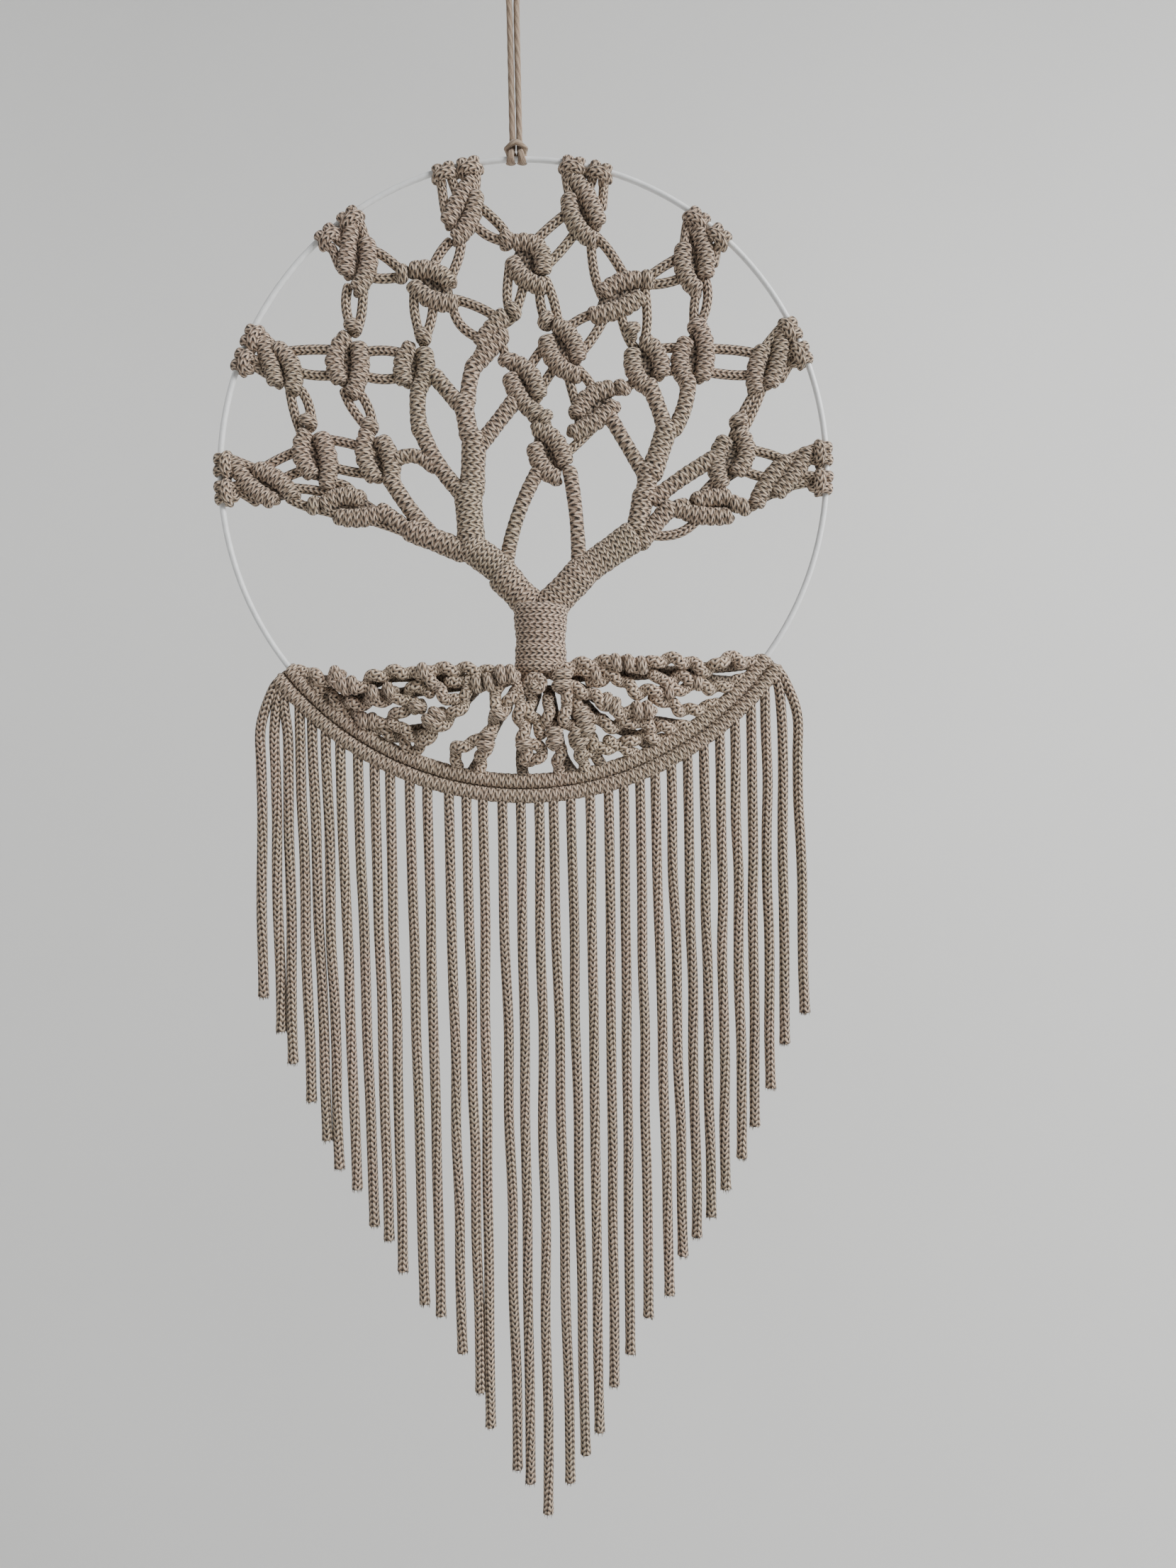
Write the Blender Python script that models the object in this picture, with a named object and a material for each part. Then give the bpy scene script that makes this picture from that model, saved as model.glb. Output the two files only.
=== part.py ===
"""Macrame dreamcatcher: a wire hoop, a knotted tree of cotton cord and a pointed fringe.

The tables are in millimetres, seen from the front: x to the right, z up, from the hoop's
centre. The front faces -Y. The part's origin is the point where its loop hangs.
"""
import math
from collections import namedtuple

import bmesh
import bpy

MM = 0.001

# Driving sizes, in millimetres
HOOP_HALF_WIDTH = 148.1
HOOP_HALF_HEIGHT = 151.9
WIRE = 2.5
LOOP_RISE = 125.0
CORD = 5.3
STRING = 3.1
BAR = 8.0
BAND = 7.0
ROOT = 6.2
GAP = 0.3
BACK = 8.0

HOOP_Z = -(LOOP_RISE + HOOP_HALF_HEIGHT)
HOOP_POINTS = 64
FACET = math.cos(math.pi / 6)

# How a wrapped bar is shown: its ridges, and how deep the grooves between them are
BAR_RIDGES = 3
BOUGH_RIDGE_PITCH = 11.0
TWIG_STEP = 15.0
GROOVE = 0.84

BAND_HALF_ANGLE = math.radians(51.6)
BAND_POINTS = 90
STRANDS = 34
HEAD_LENGTH = 25.0
HEAD = 10.6
HEAD_RIDGES = 4
HEAD_TAIL_BACK = 1.3

# The plain cords lie behind the bars, each at its own depth and turned a little differently
LINK_BACK = 0.9
LINK_BACK_STEP = 0.13
LINK_TURN = 0.2
LINK_TURN_STEP = 0.11

Run = namedtuple("Run", "x1 z1 x2 z2 bow")
Stop = namedtuple("Stop", "x z width")
Root = namedtuple("Root", "x z forward")
Strand = namedtuple("Strand", "top_x end_x end_z")

# A leaf is two bowed bars side by side. The leaves at the rim hang from lark's heads.
RIM_LEAVES = {
    "left_top": (Run(-21.5, 142.5, -34.5, 121, 0), Run(-20.5, 136, -31, 113.5, 2.5)),
    "left_high": (Run(-80, 123.5, -84.5, 97.5, 0), Run(-74.5, 114, -80, 89.5, 3)),
    "left_side": (Run(-127, 69, -119.5, 44.5, 1), Run(-120, 63, -112, 41.5, 3.5)),
    "left_low": (Run(-140.5, 6.5, -122, -12.5, -2), Run(-130.5, 3.5, -112.5, -10.5, 1.5)),
    "right_top": (Run(25.5, 144, 39.5, 119, 1.5), Run(25.5, 133.5, 37.5, 111, -3.5)),
    "right_high": (Run(85.5, 118.5, 91, 92.5, 2), Run(81, 108, 87.5, 85.5, -3)),
    "right_side": (Run(127.5, 64.5, 121, 38.5, 1), Run(119, 57, 114.5, 35.5, -1.5)),
    "right_low": (Run(139.5, 6.5, 123, -14.5, 0.5), Run(129.5, 2.5, 113, -20, -1)),
}

# Where on the hoop each rim leaf's pair of lark's heads is centred, in degrees from the top
RIM_HEADS = {
    "left_top": -11.5, "left_high": -36.7, "left_side": -66.0, "left_low": -90.5,
    "right_top": 13.4, "right_high": 39.4, "right_side": 66.8, "right_low": 90.9,
}

INNER_LEAVES = {
    "crown_centre": (Run(-2.5, 111, 11.5, 96, 6.5), Run(-3.5, 103, 12.5, 89.5, -2.5)),
    "crown_left": (Run(-52.5, 98.5, -33.5, 92, 2.5), Run(-52, 92, -31, 82.5, -2.5)),
    "crown_right": (Run(59.5, 91.5, 40.5, 85.5, -1.5), Run(59.5, 84, 34.5, 75, 1.5)),
    "mid_left_1": (Run(-84.5, 67, -88, 45, -4), Run(-79.5, 63.5, -83, 39, 2)),
    "mid_left_2": (Run(-53, 61.5, -56.5, 43.5, -2.5), Run(-47.5, 60, -50, 41, 1.5)),
    "mid_left_3": (Run(-7.5, 76, -20, 61, 0), Run(-7.5, 67.5, -23, 51, -1)),
    "mid_right_1": (Run(86.5, 70, 88, 42.5, 2.5), Run(81.5, 61.5, 81, 41, -3)),
    "mid_right_2": (Run(60, 62, 68.5, 44.5, 2.5), Run(55, 57.5, 63, 38, -3)),
    "mid_centre": (Run(17, 71, 28, 53, 2.5), Run(12.5, 64.5, 28, 45.5, -3.5)),
    "heart_left": (Run(-5.5, 53.5, 8.5, 35.5, 3), Run(-5.5, 46.5, 7, 27.5, -1.5)),
    "heart_right": (Run(44.5, 39, 26, 26.5, -2.5), Run(45.5, 31.5, 24, 17.5, 1)),
    "heart_low": (Run(6, 20.5, 20.5, 2.5, 3), Run(6, 12, 17, -4.5, -2.5)),
    "low_left_1": (Run(-105.5, 21, -102.5, -0.5, -3.5), Run(-99, 19.5, -96.5, -6.5, 2)),
    "low_left_2": (Run(-75.5, 20.5, -72, -3, -3), Run(-69.5, 17, -64.5, -3, 1.5)),
    "low_left_3": (Run(-98, -15.5, -79.5, -12.5, 2.5), Run(-91.5, -20.5, -68, -19, -1)),
    "low_right_1": (Run(105.5, 17, 103.5, -4, 4), Run(99.5, 13, 97.5, -10.5, -3.5)),
    "low_right_2": (Run(100.5, -15.5, 83.5, -17, 0), Run(100.5, -24.5, 73.5, -20, 1)),
}

# The plain cords that run between the leaves, in pairs
LINKS = (
    Run(-17, 128.5, -2, 114, 0), Run(-20.5, 120.5, -5, 112, 0),
    Run(-34, 113, -43, 99, 0), Run(-28, 114, -34, 95, 0),
    Run(-74, 110.5, -52, 99, 0), Run(-76, 98, -54, 96.5, 0),
    Run(-84, 92, -85, 69, 0), Run(-76.5, 90, -77, 68, 0),
    Run(-114, 61, -86, 60.5, 0), Run(-112, 52, -86, 49, 0),
    Run(-113.5, 42, -107, 18, 0), Run(-108, 42, -100, 22, 0),
    Run(-78, 59.5, -56, 58, 0), Run(-79, 49, -58, 47.5, 0),
    Run(-87, 41, -78, 19, 0), Run(-80, 41, -71, 22, 0),
    Run(-51.5, 88, -52, 62, 0), Run(-42.5, 86, -47, 62, 0),
    Run(-32, 85, -10, 74.5, 0), Run(-33, 83, -18, 65, -3),
    Run(-4.5, 100, -8.5, 74, 0), Run(2, 95, 0, 77, 0), Run(0, 77, -9, 72, 0),
    Run(10.5, 92, 12, 71, 0), Run(13, 93, 19, 69, 0),
    Run(26, 127, 4, 108, 0), Run(30, 119, 12, 99, 0),
    Run(35.5, 113, 41, 84, 0), Run(38, 114, 54, 90, 0),
    Run(83, 105, 56, 90.5, 0), Run(83, 94.5, 59, 87, 0),
    Run(88, 89, 84, 64, 0), Run(90, 94, 88, 66, 2),
    Run(36, 76, 20, 67, 0), Run(44, 80, 27, 55, 0),
    Run(48.5, 80, 56, 59, 0), Run(58, 88, 60, 60, 0),
    Run(88, 58, 118, 54, 0), Run(89, 47, 117, 45, 0),
    Run(62, 58, 82, 58, 0), Run(67, 48.5, 82, 48, 0),
    Run(115, 37, 102, 12, 0), Run(119, 41, 106, 14, 0),
    Run(102, 10, 130, 1, 0), Run(104, 0, 122, -6, 0),
    Run(-10, 71, -6, 52, 0), Run(16, 65, 3, 48, 0), Run(20, 54, 8, 36, 0),
    Run(22, 56, 27, 30, 0), Run(28, 49, 36, 34, 0),
    Run(60, 45, 44, 36, 0), Run(33, 19, 16, 4, 0),
    Run(-100, 18, -73, 10, 0), Run(-96, 5, -73, 0, 0),
    Run(-128, 4, -103, 14, 0), Run(-122, -4, -102, 4, 0),
    Run(-119, -6, -95, -9, 0), Run(-115, -11, -92, -19, 0),
    Run(-98, -5, -82, -12, 5), Run(-78, -21, -58, -29, 0),
    Run(97, -4, 84, -17, 0), Run(86, -24, 63, -33, 3.5),
)

# The branches, from the trunk outwards: where each passes, and how wide it is there
TRUNK = (Stop(8, -62, 22), Stop(7, -69.5, 24), Stop(6.5, -83, 23.5), Stop(6.5, -90, 24),
         Stop(6.5, -93.5, 24), Stop(6.5, -97, 24))
BOUGHS = {
    "left": (Stop(4, -72, 17), Stop(-1, -63, 16.5), Stop(-11, -52, 16.5), Stop(-19, -44, 16),
             Stop(-26, -36, 15), Stop(-27.5, -24, 14), Stop(-25.5, -6, 13), Stop(-23.5, 14, 12),
             Stop(-26.5, 24, 10.5), Stop(-29, 34, 9.5)),
    "right": (Stop(9, -72, 17), Stop(13, -63, 17), Stop(21.5, -54.5, 17), Stop(32, -48, 16.5),
              Stop(42, -41.5, 16), Stop(52, -34, 15), Stop(56.5, -24, 12), Stop(59, -13, 11),
              Stop(62, -2, 11), Stop(66.5, 6, 11), Stop(70.5, 18.5, 11)),
    "left_low": (Stop(-57, -28, 9), Stop(-48, -31, 11), Stop(-32.5, -38, 12), Stop(-23, -40, 12)),
}
TWIGS = {
    "mid_left_2_a": (Stop(-28, 29, 8), Stop(-32, 36, 8.5), Stop(-41, 46, 8), Stop(-49, 51, 7.5)),
    "mid_left_3": (Stop(-28, 30, 8), Stop(-25.5, 38, 8.5), Stop(-22, 53, 8)),
    "heart_left": (Stop(-24, 7, 8), Stop(-17.5, 17, 8.5), Stop(-5.5, 31.5, 8.5), Stop(0, 37, 7.5)),
    "mid_left_2_b": (Stop(-50, 43, 8), Stop(-50, 22, 8.5), Stop(-44, 7, 8.5), Stop(-27, -13, 8.5)),
    "low_left_2_a": (Stop(-67, 4, 7), Stop(-55, 8, 7.5), Stop(-45, 4, 7.5)),
    "low_left_2_b": (Stop(-65, -1, 8), Stop(-57, -15.5, 8.5), Stop(-47, -29, 8.5)),
    "low_left_3": (Stop(-72, -18, 8), Stop(-61, -24, 8.5), Stop(-52, -31, 8.5)),
    "heart_low_a": (Stop(-12, -50, 7.5), Stop(-8, -41, 7.5), Stop(-4.5, -24, 7.5), Stop(9, 2, 7.5)),
    "heart_low_b": (Stop(16, -3, 7), Stop(23, -13, 7.5), Stop(26, -33, 7.5), Stop(26, -51, 7.5)),
    "heart_right": (Stop(61, -5, 8), Stop(54, 5, 8), Stop(39, 27, 8)),
    "mid_right_2": (Stop(70, 15, 8), Stop(67.5, 27, 8.5), Stop(62, 42, 8)),
    "mid_right_1": (Stop(70, 15, 8), Stop(77, 24, 8.5), Stop(81, 44, 8)),
    "low_right_1": (Stop(58, -19, 8), Stop(77.5, -5, 8.5), Stop(97, 3, 8)),
    "low_right_2": (Stop(53, -35, 9), Stop(63, -33, 8.5), Stop(76, -20, 8)),
}

# The knotted roots, lying forward of the hoop's plane, each of one gnarled cord
ROOTS = (
    (Root(-113, -97, 0), Root(-98.5, -100, 2), Root(-82, -105, 5), Root(-66, -98.5, 6),
     Root(-42, -99, 6), Root(-18, -104, 8), Root(0, -104, 9)),
    (Root(-110, -102, 0), Root(-92.5, -111.5, 4), Root(-71, -111, 7), Root(-52.5, -105, 9),
     Root(-37, -107, 8), Root(-24, -104, 9)),
    (Root(-97, -117, 0), Root(-79, -121, 4), Root(-62, -117.5, 7), Root(-46, -112, 8),
     Root(-38, -106, 8)),
    (Root(-82, -129, 0), Root(-71, -124, 4), Root(-60, -128, 6), Root(-46.5, -127.5, 7),
     Root(-30, -113, 9), Root(-22, -105, 9)),
    (Root(-58, -142, 0), Root(-44, -133, 5), Root(-30, -127, 7), Root(-18, -117, 9),
     Root(-8, -106, 10)),
    (Root(-30, -149, 0), Root(-24, -140, 6), Root(-18, -125, 9), Root(-12, -116, 11),
     Root(-4, -106, 12)),
    (Root(-3, -152, 0), Root(-4, -140, 7), Root(-3, -124, 9), Root(2, -110, 11)),
    (Root(22, -150, 0), Root(14, -140, 7), Root(11, -124, 10), Root(10, -108, 11)),
    (Root(36, -147, 0), Root(28, -134, 6), Root(24, -120, 9), Root(18, -104, 10)),
    (Root(62, -138, 0), Root(52, -132, 5), Root(36, -128, 8), Root(26, -116, 9), Root(16, -105, 9)),
    (Root(82, -127, 0), Root(66, -128, 4), Root(50, -124, 7), Root(36, -116, 8), Root(24, -106, 8)),
    (Root(94, -117, 0), Root(80, -117, 4), Root(62, -110, 7), Root(44, -107, 8), Root(28, -101, 8)),
    (Root(106, -106, 0), Root(92, -108, 4), Root(76, -104, 7), Root(60, -98, 7), Root(42, -97, 7),
     Root(24, -102, 8)),
    (Root(115, -95, 0), Root(100, -99, 3), Root(84, -97, 5), Root(64, -103, 7), Root(46, -100, 7)),
)
ROOT_KNOTS = (
    (Root(-82, -106, 7), 10), (Root(-70, -112, 9), 10), (Root(-44, -117, 9), 10),
    (Root(-10, -104, 11), 9), (Root(-53, -112, 10), 9), (Root(-22, -134, 9), 9),
    (Root(27, -126, 11), 9), (Root(12, -126, 12), 9), (Root(45, -118, 10), 9),
    (Root(82, -108, 8), 9), (Root(38, -98, 10), 9), (Root(82, -117, 6), 9),
)
FOOT = (Root(6.5, -97, 4), Root(6.5, -101, 4), Root(6.5, -105, 5), Root(5, -111, 7))
FOOT_WIDTHS = (22, 24, 22, 14)
KNOT_END = 0.6

# A strand leaves the band, turns down and then hangs straight. A four-sided one is wider to
# fill its cord's outline. The strands' tops take nearly the whole length of the band.
FRINGE_SPREAD = 0.985
FRINGE_START = 1.0
FRINGE_LEAVE = 6.0
FRINGE_TURN = 18.0
FRINGE_CORD = 6.0
FRINGE_BACK = 0.3

# The fringe, from left to right: where each strand hangs below the band, and where it ends
FRINGE = (
    Strand(-131, -133, -254), Strand(-124.5, -124.5, -271), Strand(-118, -119, -286.5),
    Strand(-112, -110.5, -305.5), Strand(-106, -103, -324.5), Strand(-99.5, -97.5, -338.5),
    Strand(-92.5, -89, -349), Strand(-84, -81, -367), Strand(-76, -74, -374),
    Strand(-68.5, -67.5, -389.5), Strand(-59, -57.5, -405.5), Strand(-50.5, -49.5, -411.5),
    Strand(-40, -39.5, -430), Strand(-31.5, -31, -449), Strand(-23.5, -26.5, -466.5),
    Strand(-14, -13.5, -487), Strand(-5, -7.5, -494), Strand(4, 1, -509),
    Strand(11, 12, -494), Strand(19.5, 19.5, -481), Strand(29, 26.5, -470),
    Strand(38, 34.5, -447.5), Strand(45.5, 42.5, -432), Strand(53.5, 52, -414.5),
    Strand(61, 62.5, -404), Strand(69, 69.5, -385), Strand(77, 76.5, -376),
    Strand(85, 83.5, -366), Strand(93, 91, -353), Strand(100.5, 99.5, -338),
    Strand(108.5, 106, -322.5), Strand(115.5, 114, -304), Strand(123.5, 121.5, -282.5),
    Strand(131, 131.5, -267.5),
)

# The hitch of the hanging loop: it grips the wire, and its bight lies across both strings
STRING_SPACING = 3.4
HITCH_LENGTH = 11.0
HITCH = 7.6
HITCH_OUT = 1.0
HITCH_TOP = 9.0
STUB_START = 2.5
BIGHT = 4.4
BIGHT_OUT = 5.6
BIGHT_HALF = 4.2
BIGHT_FORWARD = 1.2

# Half of the hanging loop's route, from above the hitch to the side of the nail
LOOP_BEND = 7.75
LOOP_SIDE = (Stop(1.7, -112, 0), Stop(1.7, -88, 0), Stop(1.7, -66, 0), Stop(1.8, -50, 0),
             Stop(2.6, -35, 0), Stop(4.8, -21, 0), Stop(7.0, -11.5, 0))


def clear_scene():
    for thing in list(bpy.data.objects):
        bpy.data.objects.remove(thing, do_unlink=True)


def collection(name):
    group = bpy.data.collections.new(name)
    bpy.context.scene.collection.children.link(group)
    return group


def finish(name, colour, roughness, metallic=0.0):
    material = bpy.data.materials.new(name)
    material.use_nodes = True
    shader = material.node_tree.nodes["Principled BSDF"]
    shader.inputs["Base Color"].default_value = (*colour, 1.0)
    shader.inputs["Roughness"].default_value = roughness
    shader.inputs["Metallic"].default_value = metallic
    return material


def on_hoop(angle, out=0.0):
    """A point on the hoop, or out from it, at an angle from the top, clockwise from the front."""
    x = (HOOP_HALF_WIDTH + out) * math.sin(angle)
    return x, 0.0, (HOOP_HALF_HEIGHT + out) * math.cos(angle)


def smooth(path, steps):
    """More points on a path, along a curve through each of its own points."""
    ends = [path[0], *path, path[-1]]
    result = []
    for a, b, c, d in zip(ends, ends[1:], ends[2:], ends[3:]):
        for step in range(steps):
            t = step / steps
            result.append(tuple(
                0.5 * (2 * q + (r - p) * t + (2 * p - 5 * q + 4 * r - s) * t ** 2
                       + (3 * q - p - 3 * r + s) * t ** 3)
                for p, q, r, s in zip(a, b, c, d)))
    return result + [path[-1]]


def along(path, count):
    """A number of points spaced evenly along a path. Widths are interpolated too."""
    lengths = [0.0]
    for a, b in zip(path, path[1:]):
        lengths.append(lengths[-1] + math.dist(a[:3], b[:3]))
    result, piece = [], 0
    for index in range(count):
        wanted = lengths[-1] * index / (count - 1)
        while piece < len(path) - 2 and lengths[piece + 1] < wanted:
            piece += 1
        share = (wanted - lengths[piece]) / (lengths[piece + 1] - lengths[piece])
        result.append(tuple(a + (b - a) * share for a, b in zip(path[piece], path[piece + 1])))
    return result


def path_length(path):
    return sum(math.dist(a[:3], b[:3]) for a, b in zip(path, path[1:]))


def bowed(run, y, width, count):
    """A run from end to end, bowed sideways at its middle."""
    dx, dz = run.x2 - run.x1, run.z2 - run.z1
    span = math.hypot(dx, dz)
    path = []
    for index in range(count):
        t = index / (count - 1)
        side = run.bow * 4 * t * (1 - t) / span
        path.append((run.x1 + dx * t - dz * side, y, run.z1 + dz * t + dx * side, width))
    return path


def ridged(path, ridges):
    """A path with a ring at each ridge and a narrower one in each groove between them."""
    rings = along(path, 2 * ridges - 1)
    return [(x, y, z, width * (GROOVE if index % 2 else 1.0))
            for index, (x, y, z, width) in enumerate(rings)]


def behind(width):
    """How far forward a wide piece lies, so that its back stays off the wall."""
    return min(0.0, BACK - width / 2)


class Tubes:
    """Tubes of one number of sides, gathered as the splines of one curve."""

    def __init__(self, name, sides):
        self.curve = bpy.data.curves.new(name, "CURVE")
        self.curve.dimensions = "3D"
        self.curve.bevel_depth = MM
        self.curve.bevel_resolution = (sides - 4) // 2
        self.curve.use_fill_caps = True
        self.name = name

    def add(self, path, closed=False, turn=0.0):
        spline = self.curve.splines.new("POLY")
        spline.points.add(len(path) - 1)
        spline.use_cyclic_u = closed
        for point, (x, y, z, width) in zip(spline.points, path):
            point.co = (x * MM, y * MM, (z + HOOP_Z) * MM, 1.0)
            point.radius = width / 2
            point.tilt = turn

    def mesh(self, group):
        """The tubes as one mesh object, with their caps welded on."""
        guide = bpy.data.objects.new(self.name, self.curve)
        group.objects.link(guide)
        bpy.context.view_layer.update()
        evaluated = guide.evaluated_get(bpy.context.evaluated_depsgraph_get())
        mesh = bpy.data.meshes.new_from_object(evaluated)
        shape = bmesh.new()
        shape.from_mesh(mesh)
        bmesh.ops.remove_doubles(shape, verts=shape.verts, dist=1e-7)
        bmesh.ops.recalc_face_normals(shape, faces=shape.faces)
        shape.to_mesh(mesh)
        shape.free()
        thing = bpy.data.objects.new(self.name, mesh)
        thing.matrix_world = guide.matrix_world
        group.objects.link(thing)
        bpy.data.objects.remove(guide, do_unlink=True)
        return thing


def helper(thing):
    thing.display_type = "WIRE"
    thing.hide_render = True
    return thing


def boolean(thing, operand, operation):
    cut = thing.modifiers.new(operation.lower(), "BOOLEAN")
    cut.operation = operation
    cut.solver = "EXACT"
    cut.use_self = operation == "UNION"
    cut.object = operand


def dress(thing, name, material):
    thing.name = thing.data.name = name
    thing.data.materials.clear()
    thing.data.materials.append(material)
    return thing


def hoop_path(width):
    return [(*on_hoop(2 * math.pi * index / HOOP_POINTS), width) for index in range(HOOP_POINTS)]


def hoop_arc(middle, half_angle, out, width, count):
    """Points along the hoop, or beside it, on both sides of an angle."""
    steps = [middle - half_angle + 2 * half_angle * index / (count - 1) for index in range(count)]
    return [(*on_hoop(angle, out), width) for angle in steps]


def make_hoop(parts, paint):
    wire = Tubes("hoop", 6)
    wire.add(hoop_path(WIRE), closed=True)
    dress(wire.mesh(parts), "hoop", paint)


def make_clearance(cutters):
    """The room round the wire that each knot on it leaves."""
    room = Tubes("wire_clearance", 6)
    room.add(hoop_path(WIRE + 2 * GAP / FACET), closed=True)
    return helper(room.mesh(cutters))


def make_loop(parts, string):
    loop = Tubes("hanging_loop", 8)
    side = [(stop.x, 0.0, stop.z - HOOP_Z, STRING) for stop in LOOP_SIDE]
    start = (STRING_SPACING / 2, 0.0, HOOP_HALF_HEIGHT + HITCH_TOP + GAP, STRING)
    centre_z = STRING / 2 - LOOP_BEND - HOOP_Z
    bend = [(LOOP_BEND * math.cos(angle), 0.0, centre_z + LOOP_BEND * math.sin(angle), STRING)
            for angle in (math.radians(degrees) for degrees in (0, 30, 60, 90))]
    half = [start, *side, *bend]
    other = [(-x, y, z, width) for x, y, z, width in reversed(half[:-1])]
    route = smooth(half + other, 2)
    loop.add(along(route, 28))
    dress(loop.mesh(parts), "hanging_loop", string)


def make_hitch(parts, cutters, clearance, string):
    bar = Tubes("loop_hitch", 6)
    half_angle = HITCH_LENGTH / 2 / HOOP_HALF_WIDTH
    bar.add(ridged(hoop_arc(0.0, half_angle, HITCH_OUT, HITCH, 9), 2))
    stubs = Tubes("hitch_stubs", 8)
    for side in (-1, 1):
        x = side * STRING_SPACING / 2
        stubs.add([(x, 0.0, HOOP_HALF_HEIGHT + STUB_START, STRING),
                   (x, 0.0, HOOP_HALF_HEIGHT + HITCH_TOP, STRING)])
    bight_z = HOOP_HALF_HEIGHT + BIGHT_OUT
    stubs.add([(x, -BIGHT_FORWARD, bight_z, BIGHT) for x in (-BIGHT_HALF, 0.0, BIGHT_HALF)])
    thing = bar.mesh(parts)
    boolean(thing, helper(stubs.mesh(cutters)), "UNION")
    boolean(thing, clearance, "DIFFERENCE")
    dress(thing, "loop_hitch", string)


def stretched(run, reach):
    """The same run, begun some way before its start."""
    share = reach / math.hypot(run.x2 - run.x1, run.z2 - run.z1)
    return run._replace(x1=run.x1 - (run.x2 - run.x1) * share,
                        z1=run.z1 - (run.z2 - run.z1) * share)


def add_leaf(tubes, bars, reach=0.0):
    first, second = bars
    tubes.add(ridged(bowed(stretched(first, reach), -0.2, BAR, 9), BAR_RIDGES))
    tubes.add(ridged(bowed(second, 0.2, BAR, 9), BAR_RIDGES))


def stops_path(stops):
    return smooth([(stop.x, behind(stop.width), stop.z, stop.width) for stop in stops], 4)


def make_tree(parts, cutters, clearance, cotton):
    """Lark's heads, leaves, links, branches and trunk, all of the same cords."""
    bars = Tubes("tree", 6)
    wood = Tubes("tree_wood", 6)
    links = Tubes("tree_links", 4)
    for name, leaf in RIM_LEAVES.items():
        add_leaf(bars, leaf, HEAD / 3)
        angle = math.radians(RIM_HEADS[name])
        half_angle = HEAD_LENGTH / 2 / HOOP_HALF_WIDTH
        bars.add(ridged(hoop_arc(angle, half_angle, 0.0, HEAD, 15), HEAD_RIDGES))
        x, _, z = on_hoop(angle + half_angle / 3, -HEAD / 3)
        inner = bowed(leaf[1], HEAD_TAIL_BACK, CORD, 9)[2]
        links.add([(x, HEAD_TAIL_BACK, z, CORD), inner], turn=LINK_TURN)
    for leaf in INNER_LEAVES.values():
        add_leaf(bars, leaf)
    for index, run in enumerate(LINKS):
        back = LINK_BACK + LINK_BACK_STEP * (index % 5)
        links.add(bowed(run, back, CORD, 4 if run.bow else 2),
                  turn=LINK_TURN + LINK_TURN_STEP * (index % 3))
    trunk = stops_path(TRUNK)
    wood.add(ridged(trunk, 5))
    for stops in BOUGHS.values():
        path = stops_path(stops)
        wood.add(ridged(path, round(path_length(path) / BOUGH_RIDGE_PITCH)))
    for stops in TWIGS.values():
        path = stops_path(stops)
        bars.add(along(path, 2 + round(path_length(path) / TWIG_STEP)))
    thing = wood.mesh(parts)
    boolean(thing, helper(bars.mesh(cutters)), "UNION")
    boolean(thing, helper(links.mesh(cutters)), "UNION")
    boolean(thing, clearance, "DIFFERENCE")
    dress(thing, "tree", cotton)


def make_roots(parts, cutters, clearance, cotton):
    """The knotted roots, and the band of hitches that ties them to the wire."""
    band = Tubes("roots", 6)
    band.add(ridged(hoop_arc(math.pi, BAND_HALF_ANGLE, 0.0, BAND, BAND_POINTS), STRANDS))
    runs = Tubes("root_runs", 4)
    for index, points in enumerate(ROOTS):
        path = smooth([(p.x, -p.forward, p.z, ROOT) for p in points], 3)
        runs.add(along(path, len(points) + 2), turn=LINK_TURN * (index % 3))
    knots = Tubes("root_knots", 6)
    for at, width in ROOT_KNOTS:
        knots.add([(at.x - width / 2, -at.forward, at.z, width * KNOT_END),
                   (at.x, -at.forward, at.z, width),
                   (at.x + width / 2, -at.forward, at.z, width * KNOT_END)])
    foot = Tubes("root_foot", 8)
    foot.add([(p.x, -p.forward, p.z - (GAP if not index else 0), width)
              for index, (p, width) in enumerate(zip(FOOT, FOOT_WIDTHS))])
    thing = band.mesh(parts)
    boolean(thing, helper(runs.mesh(cutters)), "UNION")
    boolean(thing, helper(knots.mesh(cutters)), "UNION")
    boolean(thing, helper(foot.mesh(cutters)), "UNION")
    boolean(thing, clearance, "DIFFERENCE")
    dress(thing, "roots", cotton)


def make_fringe(parts, cutters, cotton):
    """The second band of hitches, with the 34 cord ends that hang from it."""
    out = BAND + GAP
    band = Tubes("fringe", 6)
    band.add(ridged(hoop_arc(math.pi, BAND_HALF_ANGLE, out, BAND, BAND_POINTS), STRANDS))
    strands = Tubes("fringe_strands", 4)
    for index, strand in enumerate(FRINGE):
        share = 1 - 2 * index / (STRANDS - 1)
        angle = math.pi + BAND_HALF_ANGLE * FRINGE_SPREAD * share
        x1, _, z1 = on_hoop(angle, out + FRINGE_START)
        x2, _, z2 = on_hoop(angle, out + FRINGE_LEAVE)
        strands.add([(x1, FRINGE_BACK, z1, CORD), (x2, FRINGE_BACK, z2, CORD),
                     (strand.top_x, FRINGE_BACK, z2 - FRINGE_TURN, FRINGE_CORD),
                     (strand.end_x, FRINGE_BACK, strand.end_z, FRINGE_CORD)], turn=math.pi / 4)
    thing = band.mesh(parts)
    boolean(thing, helper(strands.mesh(cutters)), "UNION")
    dress(thing, "fringe", cotton)


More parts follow.
